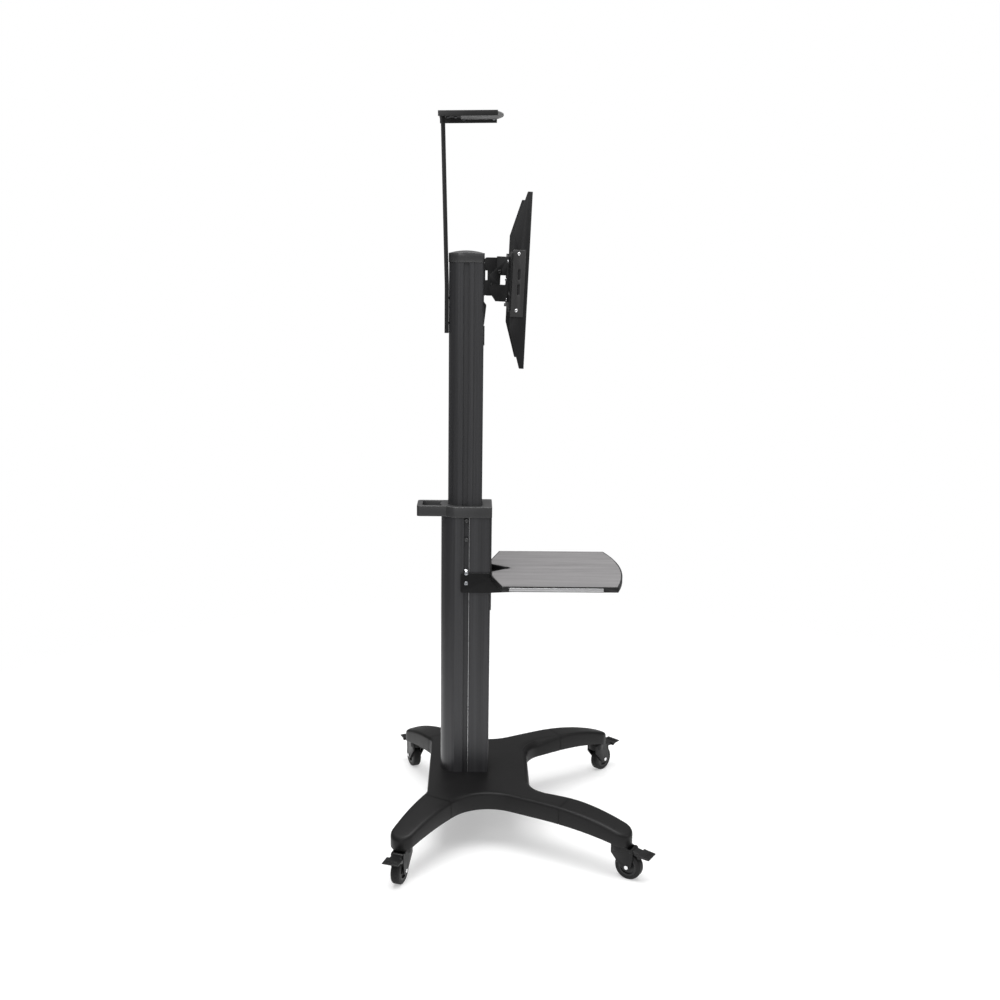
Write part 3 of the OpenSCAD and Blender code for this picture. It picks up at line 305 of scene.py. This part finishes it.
def basePlan(form):
    frontRoot, rearRoot = Vector(form["frontRoot"]), Vector(form["rearRoot"])
    frontTip, rearTip = Vector(form["frontTip"]), Vector(form["rearTip"])
    rf, rr = form["frontTipRadius"], form["rearTipRadius"]
    rear = tangentNormal(rearRoot, form["rearRootRadius"], rearTip, rr, 1)
    rearSide = tangentNormal(rearRoot, form["rearRootRadius"], rearTip, rr, -1)
    frontSide = tangentNormal(frontRoot, form["frontRootRadius"], frontTip, rf, 1)
    inner = tangentNormal(frontRoot, form["frontRootRadius"], frontTip, rf, -1)
    across = Vector((0, 1))
    rearFillet = meet(rearTip + (rr + form["rearFillet"]) * rear, rear,
                      Vector((0, form["hubRear"] + form["rearFillet"])), across)
    sideFillet = meet(rearTip + (rr + form["sideFillet"]) * rearSide, rearSide,
                      frontTip + (rf + form["sideFillet"]) * frontSide, frontSide)
    notchFillet = meet(frontTip + (rf + form["notchFillet"]) * inner, inner,
                       Vector((0, form["hubFront"] - form["notchFillet"])), across)

    def half(inset):
        return [
            [Vector((0, form["hubRear"] - inset))],
            arcPoints(rearFillet, form["rearFillet"] + inset, -math.pi / 2, angleOf(-rear),
                      form["rearFilletSteps"]),
            arcPoints(rearTip, rr - inset, angleOf(rear), angleOf(rearSide), form["tipSteps"]),
            arcPoints(sideFillet, form["sideFillet"] + inset, angleOf(-rearSide),
                      angleOf(-frontSide) + 2 * math.pi, form["sideSteps"]),
            arcPoints(frontTip, rf - inset, angleOf(frontSide), angleOf(inner), form["tipSteps"]),
            arcPoints(notchFillet, form["notchFillet"] + inset, angleOf(-inner), math.pi / 2,
                      form["notchSteps"]),
            [Vector((0, form["hubFront"] + inset))],
        ]

    def ring(inset):
        # The outline, and for each point how much it has of the wide edge in the front notch
        points, weights = [], []
        runs, notchRun = half(inset), 5
        for index, run in enumerate(runs):
            notch = 1.0 if index >= notchRun else 0.0
            points += run
            weights += [notch] * len(run)
            if index + 1 == len(runs):
                continue
            for k in range(1, form["straightSteps"]):
                t = k / form["straightSteps"]
                points.append(run[-1].lerp(runs[index + 1][0], t))
                rising = max(0.0, (t - form["blendStart"]) / (1 - form["blendStart"])) ** 2
                weights.append(rising if index == notchRun - 1 else notch)
        mirrored = [Vector((-p.x, p.y)) for p in reversed(points[1:-1])]
        return points + mirrored, weights + list(reversed(weights[1:-1]))

    return ring


def archHeights(form):
    tip, rear = form["frontTip"], form["rearTip"]
    centre = Vector((0, (rear[0] ** 2 + rear[1] ** 2 - tip[0] ** 2 - tip[1] ** 2) / (2 * (rear[1] - tip[1]))))

    def height(point, level, radius):
        away = (Vector(point[:2]) - centre).length
        past = max(0.0, away - form["archStart"])
        return level - radius + math.sqrt(radius ** 2 - past ** 2)

    return height


def inside(point, outline):
    hit = False
    for a, b in zip(outline, outline[1:] + outline[:1]):
        if (a.y > point.y) != (b.y > point.y) and point.x < (b.x - a.x) * (point.y - a.y) / (b.y - a.y) + a.x:
            hit = not hit
    return hit


def columnOutline(width, depth, grow):
    corner = columnForm["corner"]
    half, radius = width / 2 + grow, columnForm["roundShare"] * width / 2 + grow
    front, rear = -depth / 2, depth / 2
    mid = Vector((half - corner, front - grow + corner))
    side = math.acos(half / radius)
    right = arcPoints(mid, corner, -math.pi / 2, 0, columnForm["cornerSteps"])
    back = arcPoints(Vector((0, rear + grow - radius)), radius, side, math.pi - side, columnForm["backSteps"])
    left = [Vector((-p.x, p.y)) for p in reversed(right)]
    return right + back + left


def baseShell(form):
    ring, height = basePlan(form), archHeights(form)
    outer, weights = ring(0)
    inner, _ = ring(1)
    inward = [b - a for a, b in zip(outer, inner)]
    mesh = bmesh.new()

    def loop(insets, level):
        row = []
        for p, n, inset, w in zip(outer, inward, insets, weights):
            q = p + n * inset
            row.append(mesh.verts.new((q.x, q.y, level(q, w))))
        return row

    edge, (wide, tall) = form["edge"], form["notchEdge"]
    reach = [edge + w * (wide - edge) for w in weights]
    drop = [edge + w * (tall - edge) for w in weights]

    def top(q):
        return height(q, form["hubTop"], form["archTop"])

    def low(q):
        return height(q, form["hubTop"] - form["hubWall"], form["archBottom"])

    def even(value):
        return [value] * len(outer)

    lipPart = form["lip"] * form["lipShare"]
    rows = [
        loop(even(form["wall"]), lambda q, w: max(low(q) + form["skirtLeast"], top(q) - form["skirtDrop"])),
        loop(even(form["wall"]), lambda q, w: low(q) + form["skirtRise"]),
        loop(even(form["wall"] - form["lip"]), lambda q, w: low(q)),
        loop(even(lipPart), lambda q, w: low(q) + lipPart),
        loop(even(0), lambda q, w: low(q) + form["lip"]),
    ]
    for k in range(form["edgeSteps"] + 1):
        a = math.pi / 2 * k / form["edgeSteps"]
        insets = [r * (1 - math.cos(a)) for r in reach]
        row = []
        for p, n, inset, d in zip(outer, inward, insets, drop):
            q = p + n * inset
            row.append(mesh.verts.new((q.x, q.y, top(q) - d * (1 - math.sin(a)))))
        rows.append(row)
    count = len(outer)
    for first, second in zip(rows, rows[1:]):
        for i in range(count):
            j = (i + 1) % count
            mesh.faces.new((first[i], first[j], second[j], second[i]))
    rim = [v.co.xy for v in rows[-1]]
    hole = columnOutline(*form["column"], form["columnGap"])
    step = form["gridStep"]
    grid = []
    for gx in range(*form["gridX"]):
        for gy in range(*form["gridY"]):
            q = Vector((gx * step, gy * step))
            if not inside(q, rim) or inside(q, hole):
                continue
            if min((q - p).length for p in rim + hole) > step * form["gridClear"]:
                grid.append(q)
    flat = rim + hole + grid
    edges = [(i, (i + 1) % count) for i in range(count)]
    edges += [(count + i, count + (i + 1) % len(hole)) for i in range(len(hole))]
    places, _, faces, origins, _, _ = delaunay_2d_cdt(flat, edges, [], 0, form["near"])
    known = {}
    for index, origin in enumerate(origins):
        if origin and origin[0] < count:
            known[index] = rows[-1][origin[0]]
        else:
            q = places[index]
            known[index] = mesh.verts.new((q.x, q.y, top(q)))
    for face in faces:
        middle = sum((places[i] for i in face), Vector((0, 0))) / len(face)
        if inside(middle, rim) and not inside(middle, hole):
            corners = [known[i] for i in face]
            if len(set(corners)) == len(corners) and not mesh.faces.get(corners):
                mesh.faces.new(corners)
    bmesh.ops.delete(mesh, geom=[v for v in mesh.verts if not v.link_faces], context="VERTS")
    bmesh.ops.recalc_face_normals(mesh, faces=mesh.faces)
    return mesh


def seamPlane(form, root, tip, share, mirror):
    root, tip = Vector(form[root]), Vector(form[tip])
    place = root + share * (tip - root)
    line = (tip - root).normalized()
    if mirror:
        place.x, line.x = -place.x, -line.x
    return place, line


def cutAway(mesh, place, line, gap, keepBeyond):
    normal = Vector((line.x, line.y, 0))
    origin = Vector((place.x, place.y, 0)) + normal * (gap / 2 if keepBeyond else -gap / 2)
    everything = mesh.verts[:] + mesh.edges[:] + mesh.faces[:]
    bmesh.ops.bisect_plane(mesh, geom=everything, plane_co=origin, plane_no=normal,
                           clear_outer=not keepBeyond, clear_inner=keepBeyond)


shell = baseShell(baseForm)
seams = {
    "leg_cover_front_left": seamPlane(baseForm, "frontRoot", "frontTip", baseForm["frontSeam"], True),
    "leg_cover_front_right": seamPlane(baseForm, "frontRoot", "frontTip", baseForm["frontSeam"], False),
    "leg_cover_rear_left": seamPlane(baseForm, "rearRoot", "rearTip", baseForm["rearSeam"], True),
    "leg_cover_rear_right": seamPlane(baseForm, "rearRoot", "rearTip", baseForm["rearSeam"], False),
}
toRow = Matrix.Translation((0, baseForm["setBack"] / 1000, 0)) @ Matrix.Scale(0.001, 4)
hub = shell.copy()
for place, line in seams.values():
    cutAway(hub, place, line, baseForm["seamGap"], False)
bmesh.ops.transform(hub, matrix=toRow, verts=hub.verts)
newPiece("hubShell", finishedMesh("hubShell", hub), "stand", "base_plastic", "hub_cover")
for node, (place, line) in seams.items():
    leg = shell.copy()
    cutAway(leg, place, line, baseForm["seamGap"], True)
    bmesh.ops.transform(leg, matrix=toRow, verts=leg.verts)
    newPiece("shell_" + node, finishedMesh(node, leg), "stand", "base_plastic", node)


# Lip under each seam of the base: half its width and how far it is sunk, in millimetres
seamLip = {"half": 7, "sunk": 1.4}


def addLip(name, place, line):
    # A lip under both covers, which closes the seam between them
    lip = shell.copy()
    half = line * seamLip["half"]
    cutAway(lip, place - half, line, 0, True)
    cutAway(lip, place + half, line, 0, False)
    lip.normal_update()
    for vert in lip.verts:
        vert.co -= vert.normal * seamLip["sunk"]
    bmesh.ops.transform(lip, matrix=toRow, verts=lip.verts)
    newPiece(name, finishedMesh(name, lip), "stand", "spider_steel")


for node, (place, line) in seams.items():
    addLip("lip_" + node, place, line)
shell.free()
print("base covers made")


# Widths of the rounded edges of the pieces that are softened, in metres
softEdges = {
    "collar_handle": 0.0042, "top_cap": 0.0016, "front_cover": 0.0012, "shelf_bracket_left": 0.0011,
    "shelf_bracket_right": 0.0011, "shelf_edge": 0.0018, "shelf_rails": 0.0007, "camera_tray": 0.0007,
    "camera_bar": 0.0014, "camera_board": 0.0008, "screen_arm_left": 0.001, "screen_arm_right": 0.001,
    "hook_plate_left": 0.0007, "hook_plate_right": 0.0007, "column_bracket": 0.0008,
    "tilt_head": 0.0008, "screen_plate": 0.0007, "cable_clips": 0.0014, "fork_front_left": 0.0012,
    "fork_front_right": 0.0012, "fork_rear_left": 0.0012, "fork_rear_right": 0.0012,
    "pedal_front_left": 0.0016, "pedal_front_right": 0.0016, "pedal_rear_left": 0.0016,
    "pedal_rear_right": 0.0016, "wheel_front_left": 0.0008, "wheel_front_right": 0.0008,
    "wheel_rear_left": 0.0008, "wheel_rear_right": 0.0008,
}
# Bevels of the softened pieces: segments, least angle of a rounded edge and of a sharp one, in degrees
softForm = {"segments": 3, "least": 38, "sharp": 35}
# Brake pedals: places of the ribs along the tread and the share of its width that they take, then in
# metres their width, height and rounding and the pedal's play in its fork; the tread faces upward at least
# by "facing"
pedalForm = {"shares": (0.3, 0.48, 0.66, 0.84), "reach": 0.7, "width": 0.0022, "height": 0.0011,
             "round": 0.0004, "facing": 0.5, "play": 0.00006}


def softened(node, width):
    # A copy of a node with its sharp edges rounded
    mesh = mergedCopy(node)
    data = bpy.data.meshes.new("soft_" + node)
    mesh.to_mesh(data)
    mesh.free()
    helper = bpy.data.objects.new("helper", data)
    bpy.context.scene.collection.objects.link(helper)
    bevel = helper.modifiers.new("edge", "BEVEL")
    bevel.width = width
    bevel.segments = softForm["segments"]
    bevel.limit_method = "ANGLE"
    bevel.angle_limit = math.radians(softForm["least"])
    bevel.use_clamp_overlap = True
    bevel.miter_outer = "MITER_ARC"
    done = bpy.data.meshes.new_from_object(helper.evaluated_get(bpy.context.evaluated_depsgraph_get()))
    bpy.data.objects.remove(helper)
    return newPiece("soft_" + node, smoothed(done, softForm["sharp"]), bodyOf[node], slotOf[node], node)


def pedalRibs(node):
    # Ribs across the sloping tread, for the foot's grip
    solid = mergedCopy(node)
    upward = [face for face in solid.faces if face.normal.z > pedalForm["facing"]]
    tread = max(upward, key=lambda face: face.calc_area())
    normal = tread.normal.copy()
    across = normal.cross(Vector((0, 0, 1))).normalized()
    down = normal.cross(across).normalized()
    down *= -1 if down.z > 0 else 1
    spots = [corner.co.copy() for corner in tread.verts]
    solid.free()
    places = [spot.dot(down) for spot in spots]
    sides = [spot.dot(across) for spot in spots]
    level, middle = spots[0].dot(normal), (max(sides) + min(sides)) / 2
    # A rib is made twice as high as it shows, and its lower half is sunk in the tread
    size = ((max(sides) - min(sides)) * pedalForm["reach"], pedalForm["width"], pedalForm["height"] * 2)
    turn = Matrix((across, down, normal)).transposed().to_4x4()
    ribs = bmesh.new()
    for share in pedalForm["shares"]:
        along = min(places) + (max(places) - min(places)) * share
        place = Matrix.Translation(across * middle + down * along + normal * level)
        made = bmesh.ops.create_cube(ribs, size=1.0)["verts"]
        bmesh.ops.scale(ribs, verts=made, vec=size)
        bmesh.ops.transform(ribs, matrix=place @ turn, verts=made)
    bmesh.ops.bevel(ribs, geom=ribs.edges[:], offset=pedalForm["round"], segments=2, profile=0.5,
                    affect="EDGES", material=-1)
    bmesh.ops.recalc_face_normals(ribs, faces=ribs.faces[:])
    data = finishedMesh("ribs_" + node, ribs, softForm["sharp"])
    newPiece("ribs_" + node, data, bodyOf[node], slotOf[node])


for node, width in softEdges.items():
    soft = softened(node, width)
    if node.startswith("pedal"):  # drawn in, so that the pedal clears its fork
        for corner in soft.data.vertices:
            corner.co -= corner.normal * pedalForm["play"]
print("softened pieces made:", len(softEdges))
for node in softEdges:
    if node.startswith("pedal"):
        pedalRibs(node)
print("pedal ribs made")


# Tyres: places of the grooves across the tread, their width and depth, the shoulder's radius, in metres,
# the share of a groove's width that is its floor, steps of a shoulder and round the tyre, and the
# distance at which points are joined
tyreForm = {"grooves": (-0.0042, 0.0, 0.0042), "width": 0.0011, "depth": 0.0009, "shoulder": 0.005,
            "floor": 0.6, "steps": 5, "turns": 96, "distance": 0.000001}
# What counts as a tyre's flat side: how level and how even its faces are, and its area in square metres
sideForm = {"level": 0.001, "even": 0.99999, "area": 0.0005}


def tyreAxis(solid):
    # The level direction in which a flat side of the tyre faces
    total, best = 0.0, None
    for face in solid.faces:
        if abs(face.normal.z) < sideForm["level"]:
            even = [other for other in solid.faces if other.normal.dot(face.normal) > sideForm["even"]]
            area = sum(other.calc_area() for other in even)
            if area > total:
                total, best = area, face.normal.copy()
                if area > sideForm["area"]:
                    break
    return best.normalized()


def groovedTyre(node):
    # A tyre of the same size as the node, with grooves round its tread
    solid = bmesh.new()
    solid.from_mesh(nodes[node].data)
    spots = [corner.co.copy() for corner in solid.verts]
    centre = Vector([(min(s[i] for s in spots) + max(s[i] for s in spots)) / 2 for i in range(3)])
    axle = tyreAxis(solid)
    solid.free()
    offsets = [(s - centre).dot(axle) for s in spots]
    radii = [(s - centre - axle * t).length for s, t in zip(spots, offsets)]
    half, outer, inner = max(offsets), max(radii), min(radii)
    shoulder = tyreForm["shoulder"]
    outline = [(inner, -half)]
    for k in range(tyreForm["steps"] + 1):
        a = math.pi / 2 * k / tyreForm["steps"]
        outline.append((outer - shoulder + shoulder * math.sin(a), -half + shoulder - shoulder * math.cos(a)))
    for place in tyreForm["grooves"]:
        for side, deep in ((-1, 0), (-tyreForm["floor"], 1), (tyreForm["floor"], 1), (1, 0)):
            outline.append((outer - deep * tyreForm["depth"], place + side * tyreForm["width"] / 2))
    outline += [(r, -t) for r, t in reversed(outline[:tyreForm["steps"] + 2])]
    up = Vector((0, 0, 1))
    shape = bmesh.new()
    ring = [shape.verts.new(centre + up * r + axle * t) for r, t in outline]
    sides = [shape.edges.new((a, b)) for a, b in zip(ring, ring[1:] + ring[:1])]
    bmesh.ops.spin(shape, geom=ring + sides, cent=centre, axis=axle, angle=math.tau, steps=tyreForm["turns"],
                   use_merge=True, use_duplicate=False)
    bmesh.ops.remove_doubles(shape, verts=shape.verts, dist=tyreForm["distance"])
    bmesh.ops.recalc_face_normals(shape, faces=shape.faces[:])
    data = finishedMesh("tread_" + node, shape, softForm["sharp"])
    newPiece("tread_" + node, data, bodyOf[node], slotOf[node], node)


for node in nodes:
    if node.startswith("tyre"):
        groovedTyre(node)
print("tyres made")


# Screws with domed heads, with the finish of the heads
screwHeads = {"shelf_clamp_screws": "zinc_steel", "arm_screws_left": "bright_steel",
              "arm_screws_right": "bright_steel", "tilt_bolts": "black_screw", "bracket_screws": "black_screw",
              "lock_screws": "trim_plastic", "camera_bar_screws": "black_screw", "camera_screws": "black_screw"}
# Head's outline as shares of its radius and height, socket's size and depth as shares, steps of one
# side of the socket, least radius and greatest height of a head in metres, and the sharp angle in degrees
screwForm = {"profile": ((1, 0.3), (0.97, 0.55), (0.88, 0.78), (0.72, 0.93), (0.6, 1)), "socket": 0.5,
             "deep": 0.6, "steps": 5, "smallest": 0.0028, "tallest": 0.0052, "sharp": 40}
# What counts as the flat end of a head: thickness and clearance in metres, fewest corners, and how near
# to its radius they lie, as shares
endForm = {"flat": 0.00001, "clear": 0.0001, "corners": 12, "rim": 0.97, "wall": 0.03}


def roundEnds(verts):
    # Round, flat ends of one solid that are short enough to be heads: axis, side, centre, radius, height
    # and corners
    ends = []
    for axis in range(3):
        for side in (-1, 1):
            tip = max(side * v.co[axis] for v in verts)
            ring = [v for v in verts if side * v.co[axis] > tip - endForm["flat"]]
            if len(ring) < endForm["corners"]:
                continue
            centre = sum((v.co for v in ring), Vector()) / len(ring)
            radius = max((v.co - centre).length for v in ring)
            near = [v for v in ring if (v.co - centre).length > radius * endForm["rim"]]
            if len(near) < len(ring) - 1:
                continue
            same = []
            for v in verts:
                away = v.co - centre
                away[axis] = 0
                below = tip - side * v.co[axis]
                if abs(away.length - radius) < radius * endForm["wall"] and below > endForm["clear"]:
                    same.append(below)
            height = min(same) if same else 1  # a metre, where no wall is found: not a head
            if screwForm["smallest"] < radius and height < screwForm["tallest"]:
                ends.append((axis, side, centre, radius, height, ring))
    return ends


def addHead(mesh, axis, side, centre, radius, height):
    along, first, second = Vector(), Vector(), Vector()
    along[axis] = side
    first[(axis + 1) % 3] = 1
    second[(axis + 2) % 3] = 1
    count = screwForm["steps"] * 6
    corner = math.pi / 6  # half the angle of one side of the socket
    base = centre - along * height
    socket = screwForm["socket"] * radius

    def loop(reach, rise, sixSided=False):
        row = []
        for k in range(count):
            turn = 2 * math.pi * k / count
            share = math.cos(corner) / math.cos(turn % (2 * corner) - corner) if sixSided else 1
            place = base + along * rise + (first * math.cos(turn) + second * math.sin(turn)) * reach * share
            row.append(mesh.verts.new(place))
        return row

    rows = [loop(radius, 0)] + [loop(radius * reach, height * rise) for reach, rise in screwForm["profile"]]
    rows += [loop(socket, height, True), loop(socket, height * (1 - screwForm["deep"]), True)]
    for low, high in zip(rows, rows[1:]):
        for k in range(count):
            mesh.faces.new((low[k], low[(k + 1) % count], high[(k + 1) % count], high[k]))
    mesh.faces.new(rows[-1])
    return rows


def islands(mesh):
    # The corners of each separate solid, found in the mesh's own order, which is the same each run
    seen = set()
    for start in mesh.verts:
        if start in seen:
            continue
        seen.add(start)
        group = [start]
        for corner in group:  # the list grows while it is walked
            for edge in corner.link_edges:
                other = edge.other_vert(corner)
                if other not in seen:
                    seen.add(other)
                    group.append(other)
        yield group


def domedScrews(node, headSlot):
    mesh = mergedCopy(node, flatten=False)
    for face in mesh.faces:
        face.material_index = 0
    gone = []
    for group in list(islands(mesh)):
        for axis, side, centre, radius, height, ring in roundEnds(group):
            rows = addHead(mesh, axis, side, centre, radius, height)
            gone += ring
            for face in {face for row in rows for v in row for face in v.link_faces}:
                face.material_index = 1
    bmesh.ops.delete(mesh, geom=gone, context="VERTS")
    bmesh.ops.holes_fill(mesh, edges=[edge for edge in mesh.edges if edge.is_boundary], sides=0)
    bmesh.ops.recalc_face_normals(mesh, faces=mesh.faces)
    for group in list(islands(mesh)):
        faces, start = {face for v in group for face in v.link_faces}, group[0].co
        bulk = sum(face.calc_area() * face.normal.dot(face.calc_center_median() - start) for face in faces)
        if bulk < 0:  # an island that lies inside another is turned round
            bmesh.ops.reverse_faces(mesh, faces=list(faces))
    data = finishedMesh("screws_" + node, mesh, screwForm["sharp"])
    piece = newPiece("screws_" + node, data, bodyOf[node], slotOf[node], node)
    piece.data.materials.append(materials[headSlot])


for node, headSlot in screwHeads.items():
    domedScrews(node, headSlot)
print("screw heads made:", len(screwHeads))


# Painted highlight line along the slots, a bright strip, in metres: distance of the column's face, place along
# Y, ends and width
slotHighlightLine = {"face": 0.058, "edge": 0.1402, "low": 0.171, "high": 0.926, "width": 0.0011,
            "proud": 0.00012, "crown": 0.5}


def slotHighlightStrip(name, side):
    # A bright metal strip along the front edge of a slot in the lower column, a painted highlight line
    mesh = bmesh.new()
    half, proud = slotHighlightLine["width"] / 2, slotHighlightLine["proud"]
    crown = half * slotHighlightLine["crown"]
    outline = ((-half, 0), (-crown, proud), (crown, proud), (half, 0), (half, -proud))
    foot = mesh.faces.new([
        mesh.verts.new((side * (slotHighlightLine["face"] + out), slotHighlightLine["edge"] + across, slotHighlightLine["low"]))
        for across, out in outline])
    raised = bmesh.ops.extrude_face_region(mesh, geom=[foot])["geom"]
    bmesh.ops.translate(mesh, verts=[part for part in raised if isinstance(part, bmesh.types.BMVert)],
                        vec=(0, 0, slotHighlightLine["high"] - slotHighlightLine["low"]))
    bmesh.ops.recalc_face_normals(mesh, faces=mesh.faces[:])
    newPiece(name, finishedMesh(name, mesh), "stand", "rail_aluminium")


# Painted highlight lines along the slots on both sides of the lower column
slotHighlightStrip("slotHighlightLeft", -1)
slotHighlightStrip("slotHighlightRight", 1)
print("slot edges made")


# Room and lights: sizes in metres, strengths in watts
room = {"floorRadius": 5.0, "fadeStart": 0.9, "fadeEnd": 2.4, "floorGrey": 0.66, "floorGlow": 0.38,
        "skyTop": 0.9, "skyBack": 0.22, "skyFront": 0.5, "skySide": 0.03, "floorRough": 0.75,
        "floorGloss": 0.1, "floorSides": 96}
lights = {
    "overhead": {"place": (-0.4, 0.1, 3.9), "aim": (0, 0.05, 0.6), "size": (3.4, 3.4), "power": 185},
    "cameraSide": {"place": (-3.4, 1.7, 2.4), "aim": (0, 0.1, 0.9), "size": (1.0, 2.0), "power": 24},
    "screenSide": {"place": (-1.2, -3.4, 2.2), "aim": (0, 0.0, 0.9), "size": (1.0, 2.0), "power": 22},
}
# The camera stands where the photograph was taken from: place and reach in metres, angles in radians,
# lens and sensor in millimetres
cameraView = {"place": (-3.336, 0.1253, 1.6208), "turn": 0.0213, "fall": 0.1936, "roll": 0.0127,
              "lens": 43.2, "sensor": 36, "reach": 60}


def makeFloor():
    # Floor that fades into the white room
    mesh = bmesh.new()
    bmesh.ops.create_circle(mesh, cap_ends=True, segments=room["floorSides"], radius=room["floorRadius"])
    floor = bpy.data.objects.new("studioFloor", finishedMesh("studioFloor", mesh))
    bpy.context.scene.collection.objects.link(floor)
    material = bpy.data.materials.new("studioFloor")
    material.use_nodes = True
    tree = material.node_tree
    shader = tree.nodes["Principled BSDF"]
    Signal.feed(tree, shader, {
        "Base Color": (room["floorGrey"],) * 3 + (1,),
        "Emission Color": (1, 1, 1, 1),
        "Emission Strength": room["floorGlow"],
        "Roughness": room["floorRough"],
        "Specular IOR Level": room["floorGloss"],
    })
    place = Signal.node(tree, "TexCoord").outputs["Object"]
    length = Signal.node(tree, "VectorMath", {"operation": "LENGTH"}, {0: place})
    away = Signal(tree, length.outputs["Value"])
    fade = ((away - room["fadeStart"]) * (1 / (room["fadeEnd"] - room["fadeStart"]))).limited(0.0, 1.0)
    clear = Signal.node(tree, "BsdfTransparent").outputs[0]
    mix = Signal.node(tree, "MixShader", None, {0: fade, 1: shader.outputs[0], 2: clear})
    Signal.feed(tree, tree.nodes["Material Output"], {"Surface": mix.outputs[0]})
    floor.data.materials.append(material)


def makeRoom():
    # Soft light from above and behind the camera, and a white backdrop for the camera alone
    world = bpy.data.worlds.new("studio")
    bpy.context.scene.world = world
    world.use_nodes = True
    tree = world.node_tree
    tree.nodes.clear()
    place = Signal.node(tree, "TexCoord").outputs["Generated"]
    split = Signal.node(tree, "SeparateXYZ", None, {0: place})
    along, up = Signal(tree, split.outputs[0]), Signal(tree, split.outputs[2])
    behind, before = along.limited(0.0, 1.0), (along * -1.0).limited(0.0, 1.0)
    level = behind * room["skyBack"] + before * before * room["skyFront"] + room["skySide"]
    rise = up.limited(0.0, 1.0)
    rise = rise * rise
    glow = level + rise * room["skyTop"] - rise * level
    surround = Signal.node(tree, "Background", None, {"Color": (1, 1, 1, 1), "Strength": glow})
    backdrop = Signal.node(tree, "Background", None, {"Color": (1, 1, 1, 1), "Strength": 1.0})
    rays = Signal.node(tree, "LightPath").outputs["Is Camera Ray"]
    mix = Signal.node(tree, "MixShader", None, {0: rays, 1: surround.outputs[0], 2: backdrop.outputs[0]})
    Signal.node(tree, "OutputWorld", None, {"Surface": mix.outputs[0]})


def makeLight(name, spec):
    lamp = bpy.data.lights.new(name, "AREA")
    lamp.shape = "RECTANGLE"
    lamp.size, lamp.size_y = spec["size"]
    lamp.energy = spec["power"]
    holder = bpy.data.objects.new(name, lamp)
    bpy.context.scene.collection.objects.link(holder)
    place = Vector(spec["place"])
    turn = (Vector(spec["aim"]) - place).to_track_quat("-Z", "Y")
    holder.matrix_world = Matrix.Translation(place) @ turn.to_matrix().to_4x4()


def makeCamera():
    turn, fall, roll = cameraView["turn"], cameraView["fall"], cameraView["roll"]
    ahead = Vector((math.cos(turn) * math.cos(fall), -math.sin(turn) * math.cos(fall), -math.sin(fall)))
    right = Vector((-math.sin(turn), -math.cos(turn), 0))
    up = right.cross(ahead)
    right, up = right * math.cos(roll) + up * math.sin(roll), up * math.cos(roll) - right * math.sin(roll)
    camera = bpy.data.objects.new("camera", bpy.data.cameras.new("camera"))
    bpy.context.scene.collection.objects.link(camera)
    camera.data.lens = cameraView["lens"]
    camera.data.sensor_width = cameraView["sensor"]
    camera.data.clip_end = cameraView["reach"]
    aimed = Matrix((right, up, -ahead)).transposed().to_4x4()
    camera.matrix_world = Matrix.Translation(cameraView["place"]) @ aimed
    bpy.context.scene.camera = camera


makeFloor()
makeRoom()
for name, spec in lights.items():
    makeLight(name, spec)
makeCamera()
bpy.context.scene.view_settings.view_transform = "Standard"
print("room, lights and camera made")
